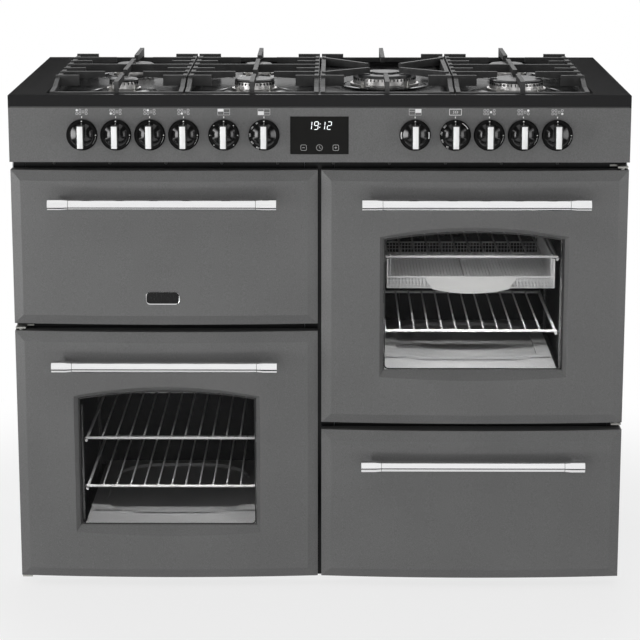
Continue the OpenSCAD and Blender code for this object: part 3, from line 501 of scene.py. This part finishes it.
# %% Brass and the elements
toned("brass", (0.5, 0.36, 0.15), (0.68, 0.52, 0.25), (0.24, 0.22), (80, 3), 0.04 * MM, Metallic=1.0)
toned("element", (0.09, 0.08, 0.075), (0.22, 0.19, 0.17), (0.4, 0.2), (28, 3), 0.08 * MM, Metallic=0.85)

# %% Turned aluminium
turned = Finish("burner_aluminium", Metallic=1.0)
ring_waves = 6000  # radians a metre, which makes a ring every millimetre or so
swirl = 0
for x, y, cap_size in burners:
    away = turned.from_line(x, y)
    near = 1 - turned.ramp(away, cap_size * 0.7, cap_size * 0.75)
    swirl = swirl + near * (away.maths("SINE", away * ring_waves) * 0.5 + 0.5)
casting = turned.noise(260, 3)
turned.set(Base_Color=turned.mix(casting, (0.58, 0.57, 0.56), (0.72, 0.71, 0.7)),
           Roughness=0.24 + 0.2 * casting)
turned.bump(casting * 0.7 + swirl * 0.3, 0.12 * MM)
print("turned rings on", len(burners), "burners, finishes so far:", len(Finish.made))

# %% [markdown]
# ## Plastics, rubber and inks
#
# Knobs are black mouldings: the skirt is dull, and the dome and grip have a gloss like a clear coat's.
# A knob is one mesh with one material slot, so the coat's weight does the split: it steps up where the
# dome begins, at one depth in front of the skirt. The feet and the terminal box are plain matt
# mouldings. Inks are flat white patches with a little unevenness, so that they read as print. The
# clock's digits glow; its keys are a dimmer print on the same glass.

# %% Plastics and rubber
def moulding(name, dark, light, rough, scale, depth, **sockets):
    """A plastic, rubber, coat or ink with a fine even texture."""
    return toned(name, dark, light, (rough, 0.12), (scale, 3), depth, **sockets)


moulding("black_plastic", (0.016, 0.016, 0.016), (0.026, 0.026, 0.026), 0.45, 700, 0.1 * MM)
moulding("switch_plastic", (0.6, 0.58, 0.5), (0.7, 0.68, 0.6), 0.4, 300, 0.05 * MM)
moulding("seal", (0.018, 0.018, 0.018), (0.045, 0.045, 0.045), 0.7, 1200, 0.4 * MM)
ceramic = moulding("ceramic", (0.68, 0.66, 0.62), (0.82, 0.8, 0.76), 0.22, 200, 0.03 * MM)
# This black rubber also paints the shade in the gap under the hob's lip.
rubber_and_gap_shade = moulding("window_seal", (0.012, 0.012, 0.012), (0.02, 0.02, 0.02), 0.5, 900, 0.1 * MM)
# This black also colours the thin rings that paint the shade at the handle joints.
screw_black = moulding("screw_black", (0.02, 0.02, 0.02), (0.035, 0.035, 0.035), 0.35, 900, 0.04 * MM)
# This black also colours the sheet that paints the shade inside the back's louvres.
plate_black = moulding("plate_black", (0.006, 0.006, 0.006), (0.009, 0.009, 0.009), 0.2, 500, 0.02 * MM,
                       Specular_IOR_Level=0.2)
knob_plastic = moulding("knob_black", (0.005, 0.005, 0.005), (0.008, 0.008, 0.008), 0.14, 260, 0.02 * MM,
                        Specular_IOR_Level=0.06, Coat_Roughness=0.13)
dome_start = front - 7.1 * MM
knob_plastic.set(Coat_Weight=knob_plastic.axes()[1] < dome_start)

# %% Inks and lit digits
ink = moulding("white_ink", (0.72, 0.72, 0.72), (0.84, 0.84, 0.84), 0.5, 800, 0.02 * MM)
faint_ink = moulding("faint_ink", (0.4, 0.4, 0.4), (0.5, 0.5, 0.5), 0.5, 800, 0.02 * MM)
digits_lit = Finish("lit_digits", Base_Color=(0.8, 0.82, 0.84), Roughness=0.4, Emission_Strength=0.75)
flicker = digits_lit.noise(400, 1)
digits_lit.set(Emission_Color=digits_lit.mix(flicker, (0.68, 0.7, 0.72), (0.8, 0.82, 0.84)))

# %% Put the finishes on the assembly
for part in frame["record"]["subparts"]:
    for holder in frame["nodes"][part["node"]].material_slots:
        holder.material = Finish.made[part["material_slot"]]

# %% [markdown]
# ## Helpers for small pieces
#
# Each new piece starts as a bmesh. A few helpers place the usual beginnings: a rod between two points,
# a slab with soft edges, a rounded tile or a dot on a face, and a profile turned round an axis. One more
# closes the bmesh into an object and lets it ride on the body that carries it.

# %% From bmesh to piece
def piece(name, shape, finish, body, smooth=35):
    """Makes a bmesh an object that rides on a CAD body."""
    bmesh.ops.remove_doubles(shape, verts=shape.verts, dist=1e-6)
    bmesh.ops.recalc_face_normals(shape, faces=shape.faces)
    made = as_object(name, shape, finish)
    for face in made.data.polygons:
        face.use_smooth = True
    made.data.set_sharp_from_angle(angle=math.radians(smooth))
    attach(made, body)
    print(name, len(made.data.polygons), "faces")
    return made


# %% Rods and slabs
def rod(shape, start, end, size, sides=10):
    """A straight wire between two points."""
    start, end = Vector(start), Vector(end)
    turn = (end - start).to_track_quat("Z", "Y").to_matrix().to_4x4()
    placed = Matrix.Translation((start + end) / 2) @ turn
    bmesh.ops.create_cone(shape, cap_ends=True, segments=sides, radius1=size / 2, radius2=size / 2,
                          depth=(end - start).length, matrix=placed)


def soften(shape, geom, offset, segments, affect="EDGES"):
    """Rounds off edges, or the corners of a flat face."""
    bmesh.ops.bevel(shape, geom=list(geom), offset=offset, segments=segments, profile=0.5,
                    affect=affect, material=-1)


def slab(shape, centre, size, edge=0.0, turn=Matrix()):
    """A block, with bevelled edges if an edge width is given."""
    placed = Matrix.Translation(centre) @ turn @ Matrix.Diagonal((*size, 1))
    made = bmesh.ops.create_cube(shape, size=1, matrix=placed)
    if edge:
        soften(shape, {e for v in made["verts"] for e in v.link_edges}, edge, 3)


# %% Tiles and dots of print
print_thick = 0.12 * MM


def outline(shape, faces, line):
    """Keeps only a band of the given width inside the edge of flat faces."""
    band = bmesh.ops.inset_region(shape, faces=faces, thickness=line, use_even_offset=True,
                                  use_boundary=True)["faces"]
    bmesh.ops.delete(shape, geom=[f for f in faces if f.is_valid and f not in band], context="FACES")
    return band


def tile(shape, place, size, corner=0.0, line=0.0, thick=print_thick, turn=UPRIGHT):
    """A rounded rectangle of print on a face; with a line width it is only the outline."""
    start = len(shape.faces)
    corners = rectangle(shape, place, size, turn)
    if corner:
        soften(shape, corners, corner, 5, "VERTICES")
    shape.faces.ensure_lookup_table()
    faces = shape.faces[start:]
    if line:
        faces = outline(shape, faces, line)
    bmesh.ops.solidify(shape, geom=faces, thickness=thick)


def dot(shape, place, size, line=0.0, sides=20):
    """A round dot of print, or a ring if it has a line width."""
    made = bmesh.ops.create_circle(shape, cap_ends=True, segments=sides, radius=size / 2,
                                   matrix=Matrix.Translation(place) @ UPRIGHT)
    faces = list({f for v in made["verts"] for f in v.link_faces})
    if line:
        faces = outline(shape, faces, line)
    bmesh.ops.solidify(shape, geom=faces, thickness=print_thick)


# %% Turned shapes
def lathe(shape, place, profile, steps, closed=False):
    """Turns a profile of (radius, height) points round the upright axis through a place."""
    x, y, z = place
    verts = [shape.verts.new((x + radius, y, z + height)) for radius, height in profile]
    ends = verts[1:] + verts[:1] if closed else verts[1:]
    edges = [shape.edges.new(pair) for pair in zip(verts, ends)]
    bmesh.ops.spin(shape, geom=verts + edges, cent=place, axis=(0, 0, 1), angle=math.tau,
                   steps=steps, use_merge=True)


# %% [markdown]
# ## Knobs
#
# Each knob has a bright metal face let into its grip, and white marks on its skirt. A material could
# paint the marks, with a mask for every stroke, but thin tiles are simpler and stay sharp from close by.
# Each knob has a piece of marks that rides on its body. Gas knobs show a dot at the top, one at full
# flame and an arc that narrows from there to the small flame. The other four carry dots, plain
# temperatures or arcs.

# %% Knob faces
grip_front = knob_boxes[0][0].y
grip_wide, grip_tall = 9.8 * MM, 39.4 * MM
rib_wide, rib_tall = 2.2 * MM, grip_tall - 6 * MM
for i, (x, z) in enumerate(knob_centres, start=1):
    face = bmesh.new()
    slab(face, (x, grip_front, z), (grip_wide, 1.2 * MM, grip_tall), 0.5 * MM)
    slab(face, (x, grip_front - 0.5 * MM, z), (rib_wide, 0.6 * MM, rib_tall), 0.25 * MM)
    piece(f"knob_{i}_face", face, grip_metal, f"knob_{i}")

# %% Places and strokes on a skirt
skirt_front = front - 6.85 * MM
mark_out = 24.6 * MM
stroke_overlap = 1.06


def on_skirt(i, clock_angle):
    """Place of a mark on a knob's skirt: 0 is at the top and the angle grows clockwise."""
    x, z = knob_centres[i - 1]
    a = math.radians(clock_angle)
    return (x + mark_out * math.sin(a), skirt_front, z + mark_out * math.cos(a))


def arc(shape, i, begin, end, wide_begin, wide_end, steps):
    """A curved stroke on a skirt whose width goes from one value to another, in short tiles."""
    length = mark_out * math.radians(abs(end - begin)) / steps * stroke_overlap
    for k in range(steps):
        share = (k + 0.5) / steps
        angle = begin + (end - begin) * share
        width = wide_begin + (wide_end - wide_begin) * share
        tile(shape, on_skirt(i, angle), (length, width), turn=rotation(angle, "Y") @ UPRIGHT)


def number(shape, text, i, angle, tall):
    """A plain number on the skirt, its head away from the knob's middle."""
    letters = bpy.data.curves.new("number", "FONT")
    letters.body = text
    letters.size = tall
    letters.align_x = "CENTER"
    letters.align_y = "CENTER"
    letters.extrude = print_thick / 2
    letters.resolution_u = 2
    holder = bpy.data.objects.new("number", letters)
    bpy.context.scene.collection.objects.link(holder)
    mesh = bpy.data.meshes.new_from_object(holder)
    mesh.transform(Matrix.Translation(on_skirt(i, angle)) @ rotation(angle, "Y") @ UPRIGHT)
    shape.from_mesh(mesh)
    bpy.data.objects.remove(holder)
    bpy.data.curves.remove(letters)
    bpy.data.meshes.remove(mesh)


# %% Knob marks
gas_knobs = (1, 2, 3, 4, 9, 10, 11)
number_tall = 4.4 * MM
for i in range(1, len(knob_centres) + 1):
    marks = bmesh.new()
    dot(marks, on_skirt(i, 0), 2.4 * MM)
    if i in gas_knobs:
        dot(marks, on_skirt(i, 90), 2.0 * MM)
        arc(marks, i, 98, 130, 0.45 * MM, 0.2 * MM, 14)
    elif i == 5:
        for angle in (45, 90, 135, 225, 270, 315):
            dot(marks, on_skirt(i, angle), 1.7 * MM)
    elif i == 6:
        for angle, text in ((-30, "50"), (-58, "100"), (-90, "150"), (-122, "200"), (-154, "250")):
            number(marks, text, i, angle, number_tall)
    elif i == 7:
        arc(marks, i, -104, -76, 2.0 * MM, 2.0 * MM, 6)
        arc(marks, i, 76, 104, 2.0 * MM, 2.0 * MM, 6)
    else:
        for angle, text in ((-50, "200"), (-82, "150"), (-114, "100"), (-146, "50")):
            number(marks, text, i, angle, number_tall)
        arc(marks, i, 28, 62, 0.6 * MM, 1.8 * MM, 8)
    piece(f"knob_{i}_marks", marks, ink, f"knob_{i}")

# %% [markdown]
# ## Print on the fascia
#
# Above each knob stand a short pointer and a small plan of the cooker. The gas knobs' plan is a ring for
# each burner, with their own one filled in. The oven knobs' plan is the four doors, with theirs filled
# in, and the last of them frames a heat sign. All of it is thin print, so flat tiles with round corners
# are enough.

# %% Plans of burners and doors
print_y = front - 0.1 * MM
fascia_low, fascia_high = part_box("fascia")
plan_z = fascia_high.z - 7.4 * MM
plan_size = (22.0 * MM, 11.4 * MM)
plan_line = 0.8 * MM
burner_plan = [(-8.4, -2.9), (-8.4, 2.9), (-3.0, -2.9), (-3.0, 2.9), (2.6, 0), (8.2, -2.9), (8.2, 2.9)]
burner_of_knob = {1: 1, 2: 0, 3: 3, 4: 2, 9: 4, 10: 6, 11: 5}

# For an oven knob's own door: its side of the plan, how far its middle lies above the plan's, and its
# height, in millimetres.
door_of_knob = {5: (-1, 3.2, 5.0), 6: (-1, -2.1, 6.4), 7: (1, 2.2, 6.6)}

# %% Fascia print
bright_print = bmesh.new()
faint_print = bmesh.new()
for i, (x, z) in enumerate(knob_centres, start=1):
    skirt_top = knob_boxes[i - 1][1].z
    tile(bright_print, (x, print_y, skirt_top + 3.6 * MM), (1.7 * MM, 3.4 * MM), 0.5 * MM)
    if i in burner_of_knob:
        for k, (dx, dz) in enumerate(burner_plan):
            place = (x + dx * MM, print_y, plan_z + dz * MM)
            if k == burner_of_knob[i]:
                dot(bright_print, place, 4.2 * MM)
            else:
                dot(faint_print, place, 4.9 * MM, 1.0 * MM)
    elif i == 8:
        tile(bright_print, (x, print_y, plan_z), plan_size, 1.0 * MM, 0.9 * MM)
        for step in (-3.2, 0, 3.2):
            for rise, lean in ((-1.3, 35), (1.3, -35)):
                place = (x + step * MM, print_y, plan_z + rise * MM)
                turn = rotation(lean, "Y") @ UPRIGHT
                tile(bright_print, place, (0.7 * MM, 3.2 * MM), turn=turn)
    else:
        tile(faint_print, (x, print_y, plan_z), plan_size, 0.6 * MM, plan_line)
        tile(faint_print, (x, print_y, plan_z), (plan_line, plan_size[1]))
        for side, rise in ((-1, 1.2), (1, -1.2)):
            place = (x + side * plan_size[0] / 4, print_y, plan_z + rise * MM)
            tile(faint_print, place, (plan_size[0] / 2, plan_line))
        side, rise, tall = door_of_knob[i]
        place = (x + side * plan_size[0] / 4, print_y - 0.05 * MM, plan_z + rise * MM)
        tile(bright_print, place, (plan_size[0] / 2 - plan_line, tall * MM), 0.3 * MM)
piece("fascia_pointers", bright_print, ink, "root")
piece("fascia_plans", faint_print, faint_ink, "root")

# %% [markdown]
# ## Clock
#
# The display is a seven-segment one with slanting digits, which no ordinary font looks like. So each
# digit lists the segments that are lit, and a loop lays a slim bar for each. Below are three touch keys,
# drawn as thin outlines.

# %% Clock digits
clock_low, clock_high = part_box("clock_glass")
glass_y = clock_low.y - 0.1 * MM
clock_x = (clock_low.x + clock_high.x) / 2
digit_wide, digit_tall = 6.6 * MM, 13.6 * MM
stroke = 1.25 * MM
segments = {"top": (0, 1, True), "upper_left": (-1, 0.5, False), "upper_right": (1, 0.5, False),
            "middle": (0, 0, True), "lower_left": (-1, -0.5, False), "lower_right": (1, -0.5, False),
            "bottom": (0, -1, True)}
lit = {"1": ("upper_right", "lower_right"),
       "2": ("top", "upper_right", "middle", "lower_left", "bottom"),
       "9": ("top", "upper_left", "upper_right", "middle", "lower_right", "bottom")}
digits = bmesh.new()
digits_z = knob_line + 16.6 * MM
for text, dx in (("1", -17.0), ("9", -5.6), ("1", 6.2), ("2", 17.6)):
    for name in lit[text]:
        side, rise, flat = segments[name]
        size = (digit_wide - stroke * 0.9, stroke) if flat else (stroke, digit_tall / 2 - stroke * 0.6)
        place = (clock_x + dx * MM + side * digit_wide / 2, glass_y, digits_z + rise * digit_tall / 2)
        tile(digits, place, size, stroke * 0.42)
for rise in (-0.22, 0.22):
    dot(digits, (clock_x + 0.8 * MM, glass_y, digits_z + rise * digit_tall), 1.9 * MM)
slant = Matrix.Identity(4)
slant[0][2] = math.tan(math.radians(6))
to_middle = Matrix.Translation((clock_x, 0, digits_z))
bmesh.ops.transform(digits, matrix=to_middle @ slant @ to_middle.inverted(), verts=digits.verts)
piece("clock_digits", digits, digits_lit, "root")

# %% Touch keys
keys = bmesh.new()
keys_z = knob_line - 22.8 * MM
key_size, key_line = 10.6 * MM, 0.65 * MM
sign_size, sign_line = 4.4 * MM, 0.8 * MM
for dx in (-28.0, 29.0):
    place = (clock_x + dx * MM, glass_y, keys_z)
    tile(keys, place, (key_size, key_size), 2.4 * MM, key_line)
    tile(keys, place, (sign_size, sign_line))
    if dx > 0:
        tile(keys, place, (sign_line, sign_size))
dot(keys, (clock_x, glass_y, keys_z), 11.2 * MM, key_line, sides=32)
tile(keys, (clock_x, glass_y, keys_z + 1.4 * MM), (sign_line, 3.4 * MM))
tile(keys, (clock_x + 1.1 * MM, glass_y, keys_z - 0.7 * MM), (sign_line, 3.0 * MM),
     turn=rotation(125, "Y") @ UPRIGHT)
piece("clock_keys", keys, faint_ink, "root")

# %% [markdown]
# ## Blank plate, screws and seals
#
# The grill door carries a small plate, which stays blank here: a rounded rectangle of gloss black in a
# thin bright rim. Screws show in the dark strip under the fascia and on the back. A thin black sheet
# inside the back's louvres keeps daylight from showing through the cooker, and its black paints the
# shade of the cooker's unlit inside. A slim rubber line runs round each oven window, where the glass
# meets the flared steel. Most of these are slabs with bevelled edges; the window's line is one face with
# its arch spun from a point, cut down to a band.

# %% Blank plate on the grill door
door_low, door_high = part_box("grill_door_panel")
plate_x = (door_low.x + door_high.x) / 2 - 4 * MM
plate_z = door_low.z + 51 * MM
face_y = door_low.y
rim = bmesh.new()
slab(rim, (plate_x, face_y - 0.6 * MM, plate_z), (60 * MM, 1.6 * MM, 23 * MM))
upright_edges = [e for e in rim.edges if abs(e.verts[0].co.y - e.verts[1].co.y) > MM]
soften(rim, upright_edges, 7 * MM, 8)
front_face = min(rim.faces, key=lambda f: f.calc_center_median().y)
bmesh.ops.inset_region(rim, faces=[front_face], thickness=1.1 * MM, depth=-0.5 * MM,
                       use_even_offset=True)
piece("blank_plate_rim", rim, chrome, "grill_door", 50)

blank = bmesh.new()
tile(blank, (plate_x, face_y - 1.0 * MM, plate_z), (57.6 * MM, 20.6 * MM), 5.8 * MM, thick=0.4 * MM)
piece("blank_plate", blank, plate_black, "grill_door")

# %% Screws
def screw(shape, place, size, turn):
    """A pan-head screw with a cross on its head, which points along its own +Z."""
    seat = Matrix.Translation(place) @ turn
    tall = size * 0.3
    made = bmesh.ops.create_cone(shape, cap_ends=True, segments=20, radius1=size / 2,
                                 radius2=size * 0.36, depth=tall,
                                 matrix=seat @ Matrix.Translation((0, 0, tall / 2)))
    soften(shape, {e for v in made["verts"] for e in v.link_edges}, size * 0.05, 2)
    for angle in (45, 135):
        slab(shape, seat @ Vector((0, 0, tall)), (size * 0.6, size * 0.1, size * 0.04),
             turn=turn @ rotation(angle, "Z"))


strip_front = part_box("front_frame")[0].y
strip_z = (door_high.z + fascia_low.z) / 2
strip_screws = bmesh.new()
for x in range(-475, 476, 100):
    screw(strip_screws, (x * MM, strip_front, strip_z), 5.5 * MM, UPRIGHT)
piece("strip_screws", strip_screws, screw_black, "root")

back_low, back_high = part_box("back_panel")
back_screws = bmesh.new()
for inwards in (12 * MM, 190 * MM):
    for x in (back_low.x + inwards, back_high.x - inwards):
        for share in (0.03, 0.97):
            z = back_low.z + (back_high.z - back_low.z) * share
            screw(back_screws, (x, back_high.y, z), 9 * MM, rotation(-90, "X"))
piece("back_screws", back_screws, zinc, "root")

# %% Screen inside the louvres
# The sheet's black is painted shade: it stands for the dark inside of the cooker.
screen_bottom, screen_top = 735 * MM, 865 * MM
screen_size = (back_high.x - back_low.x - 60 * MM, 0.8 * MM, screen_top - screen_bottom)
screen_middle = ((back_low.x + back_high.x) / 2, back_low.y - 20 * MM, (screen_bottom + screen_top) / 2)
screen = bmesh.new()
slab(screen, screen_middle, screen_size, 0.2 * MM)
piece("louvre_screen", screen, plate_black, "root")

# %% Rubber line round a window
window_wide, window_tall = 322 * MM, 239 * MM
window_rise = 14 * MM
window_up = 101 * MM
window_deep = 13.7 * MM


def window_line(door):
    """A thin rubber frame on the glass, square below with round corners, and arched above."""
    low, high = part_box(f"{door}_panel")
    shape = bmesh.new()
    half = window_wide / 2
    corner = shape.verts.new((half, 0, window_tall))
    arch_size = (half ** 2 + window_rise ** 2) / (2 * window_rise)
    arch_turn = 2 * math.asin(half / arch_size)
    arch_middle = (0, 0, window_tall + window_rise - arch_size)
    bmesh.ops.spin(shape, geom=[corner], cent=arch_middle, axis=(0, -1, 0), angle=arch_turn, steps=24)
    shape.verts.ensure_lookup_table()
    top = sorted(shape.verts, key=lambda v: v.co.x)
    feet = [shape.verts.new((side * half, 0, 0)) for side in (-1, 1)]
    bmesh.ops.contextual_create(shape, geom=top + feet)
    soften(shape, feet, 9 * MM, 6, "VERTICES")
    band = outline(shape, shape.faces[:], 2.4 * MM)
    bmesh.ops.solidify(shape, geom=band, thickness=0.9 * MM)
    place = ((low.x + high.x) / 2, low.y + window_deep, low.z + window_up)
    bmesh.ops.translate(shape, verts=shape.verts, vec=place)
    piece(f"{door}_window_seal", shape, rubber_and_gap_shade, door)


window_line("main_door")
window_line("right_door")

# %% Painted shade under the hob's lip
# A black strip under the hob's lip paints the shade in the gap between the lip and the fascia.
gap_shade = bmesh.new()
gap_shade_size = (hob_high.x - hob_low.x - 6 * MM, 0.8 * MM, 2.4 * MM)
slab(gap_shade, (0, hob_low.y, hob_low.z + 1.2 * MM), gap_shade_size, 0.2 * MM)
piece("hob_gap_shade", gap_shade, rubber_and_gap_shade, "root")

# %% [markdown]
# ## Handle joints
#
# A bar handle is a tube pushed into a ferrule at each end. The joint shows as one fine dark line, the
# shade in its groove. A cut groove would change the handle itself, so a thin dark ring, just proud of
# the tube, paints that shade.

# %% Painted shade rings at the handle joints
ferrule_long = 36.2 * MM
ring_wide = 0.7 * MM
for body, node in (("grill_door", "grill_door_handle"), ("main_door", "main_door_handle"),
                   ("right_door", "right_door_handle"), ("drawer", "drawer_handle")):
    low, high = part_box(node)
    ferrule_size = high.z - low.z
    y, z = low.y + ferrule_size / 2, (low.z + high.z) / 2
    rings = bmesh.new()
    for x in (low.x + ferrule_long, high.x - ferrule_long):
        # Each ring paints the shade in the groove where the tube meets its ferrule.
        rod(rings, (x - ring_wide / 2, y, z), (x + ring_wide / 2, y, z), ferrule_size - 1.7 * MM, 48)
    piece(f"{node}_joints", rings, screw_black, body)

# %% [markdown]
# ## Basket
#
# Under the right oven's upper shelf hangs a basket of fine wire mesh, with a pressed plate for a grip.
# A plane with a see-through pattern would look right only head-on. Real wires are cheap here: each runs
# down one wall, along the bottom and up the other, in both directions, with thick rods round the edges.
# These pieces take the place of the plain basket of the assembly.

# %% Wire basket
basket_low, basket_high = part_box("air_fry_basket")
basket_x = (basket_low.x + basket_high.x) / 2
hook_out = 2.5 * MM
wire, wire_pitch = 1.25 * MM, 6.1 * MM
basket_half = (basket_high.x - basket_low.x) / 2 - wire / 2
left, right = basket_x - basket_half, basket_x + basket_half
near, far = basket_low.y + hook_out + wire / 2, basket_high.y - hook_out - wire / 2
base = basket_low.z + 2 * MM + wire
side_top = base + 53 * MM
lip_top = base + 20.5 * MM


def bent_wire(shape, points, size, sides):
    """Rods from point to point."""
    for start, end in zip(points, points[1:]):
        rod(shape, start, end, size, sides)


def spread(start, end, pitch):
    """Evenly spaced values between two ends, about a pitch apart."""
    count = round((end - start) / pitch)
    return [start + (end - start) * k / count for k in range(count + 1)]


print("basket", round(2 * basket_half / MM), "mm wide, with a wire every", wire_pitch / MM, "mm")
mesh_wires = bmesh.new()
for y in spread(near, far, wire_pitch):
    bent_wire(mesh_wires, [(left, y, side_top), (left, y, base), (right, y, base), (right, y, side_top)],
              wire, 5)
for x in spread(left, right, wire_pitch):
    bent_wire(mesh_wires, [(x, near, lip_top), (x, near, base), (x, far, base), (x, far, lip_top)],
              wire, 5)
for z in spread(base, side_top, wire_pitch):
    for x in (left, right):
        rod(mesh_wires, (x, near, z), (x, far, z), wire, 5)
for z in spread(base, lip_top, wire_pitch):
    for y in (near, far):
        rod(mesh_wires, (left, y, z), (right, y, z), wire, 5)

# %% Edge rods and hooks
edge_rod, thin_rod = 3.2 * MM, 2 * MM
for y in (near + MM, far - MM):
    rod(mesh_wires, (left, y, lip_top), (right, y, lip_top), edge_rod)
    for x in (left + MM, right - MM):
        rod(mesh_wires, (x, y, base), (x, y, side_top), edge_rod)
for x in (left + MM, right - MM):
    rod(mesh_wires, (x, near, side_top), (x, far, side_top), edge_rod)
x, z = basket_x - 8 * MM, base + 1.6 * MM
rod(mesh_wires, (x, near, z), (x, far, z), thin_rod)
hook_top = basket_high.z - 1.1 * MM
for x in (left + 6 * MM, right - 6 * MM):
    for y, outwards in ((near, -1), (far, 1)):
        inner, outer = y - outwards * 3.2 * MM, y + outwards * 2.2 * MM
        bent_wire(mesh_wires, [(x, inner, lip_top - 6 * MM), (x, inner, hook_top), (x, outer, hook_top),
                               (x, outer, hook_top - 5 * MM)], thin_rod, 8)
basket = piece("fry_basket", mesh_wires, plating, "root")
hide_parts("air_fry_basket")

# %% Grip plate
# A flat grid is shaped point by point: towards the bottom it narrows, and its middle hangs lower.
plate = bmesh.new()
bmesh.ops.create_grid(plate, x_segments=24, y_segments=8, size=0.5)
plate_top, plate_tall = lip_top + 0.5 * MM, 23 * MM
for vert in plate.verts:
    down = 0.5 - vert.co.y
    flare = down * down * (3 - 2 * down)
    half = (84 - 13 * flare) * MM
    sag = 8.5 * MM * (1 - (2 * vert.co.x) ** 2) * down
    vert.co = (basket_x + 2 * half * vert.co.x, near - 1.6 * MM, plate_top - plate_tall * down - sag)
plate.normal_update()
bmesh.ops.solidify(plate, geom=plate.faces[:], thickness=1.0 * MM)
basket_plate = piece("fry_basket_plate", plate, pressed, "root")

# %% [markdown]
# ## Burners
#
# A gas burner shows a ring of port slots under its cap, a white spark electrode and a slim flame sensor
# beside it. The slots in the casting are dark from the shade inside them; dark tabs laid on the cone
# paint that shade, read the same at this size and need no cuts. The wok burner also sits in a dark ring
# that keeps spills away.

# %% Port shade, electrodes and sensors
well_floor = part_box("burner_bodies")[0].z + 12 * MM
cap_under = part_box("burner_caps")[0].z
# Dark tabs in the caps' enamel paint the shade inside the port slots.
port_shade, electrodes, sensors = bmesh.new(), bmesh.new(), bmesh.new()
port_shade_size = (1.6 * MM, 1.6 * MM, 4.4 * MM)
ports_per_mm = 0.42
pins = ((-128, electrodes, 6 * MM, 13 * MM), (-52, sensors, 3.6 * MM, 15 * MM))
for x, y, cap_size in burners:
    count = round(cap_size / MM * ports_per_mm)
    for k in range(count):
        turn = Matrix.Rotation(math.tau * k / count, 4, "Z")
        out = turn @ Vector((cap_size / 2 - 0.6 * MM, 0, 0))
        slab(port_shade, (x + out.x, y + out.y, cap_under - 3.2 * MM), port_shade_size, turn=turn)
    away = cap_size / 2 + 9.5 * MM
    for angle, shape, size, tall in pins:
        a = math.radians(angle)
        foot = (x + away * math.cos(a), y + away * math.sin(a), well_floor)
        lathe(shape, foot, [(0, 0), (size * 0.75, 0), (size * 0.75, tall * 0.3),
                            (size * 0.5, tall * 0.36), (size * 0.5, tall * 0.86), (size * 0.2, tall),
                            (0, tall)], 16)
piece("burner_port_shade", port_shade, cap_enamel, "root")
piece("burner_electrodes", electrodes, ceramic, "root")
piece("burner_sensors", sensors, zinc, "root")

# %% Wok ring
wok_x, wok_y, _ = burners[4]
wok_ring = bmesh.new()
lathe(wok_ring, (wok_x, wok_y, well_floor),
      [(77 * MM, 0), (83 * MM, 0), (82 * MM, 3.4 * MM), (78 * MM, 3.4 * MM)], 72, closed=True)
piece("wok_ring", wok_ring, plate_black, "root")

# %% [markdown]
# ## Light in the ovens
#
# In the photograph a steep light reaches through each window and throws a sharp shadow edge across the
# floor plate. The edge's place in the two ovens says where the lamp hangs: some half a metre in front of
# the cooker and a little higher than it. A softer one further out brightens the wires. On the doors
# these lamps would throw shadows below the handles, which the photograph doesn't show, so light linking
# keeps them to the insides of the ovens and the doors' liners.

# %% Oven lamps
def light_only(lamp, pieces):
    """Makes a lamp light these pieces and nothing else."""
    lit = bpy.data.collections.new(f"{lamp.name}_lights")
    for lit_piece in pieces:
        lit.objects.link(lit_piece)
    lamp.light_linking.receiver_collection = lit
    print(lamp.name, "lights only", len(pieces), "pieces")


steel_nodes = ("oven_shelves", "oven_floor_trays", "main_oven_cavity", "right_oven_cavity",
               "main_door_liner", "right_door_liner")
steel_parts = [frame["nodes"][node] for node in steel_nodes]
wires = [frame["nodes"]["oven_shelves"], basket, basket_plate]
wire_lamp = soft_lamp("wire_lamp", (0, front - 1.2, 1.35), (0, front + 0.2, 0.4), (0.9, 0.25), 23)
light_only(wire_lamp, wires)

# For each oven's own lamp: its distance in front of the doors, its height and its power.
steep_lamps = {"main_door": (0.6, 1.19, 1.8), "right_door": (0.45, 1.06, 2.1)}
for door, (away, height, power) in steep_lamps.items():
    door_low, door_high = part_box(f"{door}_panel")
    x = (door_low.x + door_high.x) / 2
    aim = (x, front + 0.13, door_low.z + 0.08)
    steep_lamp = soft_lamp(f"{door}_steep_lamp", (x, front - away, height), aim, (0.3, 0.02), power,
                           spread=60)
    light_only(steep_lamp, steel_parts)
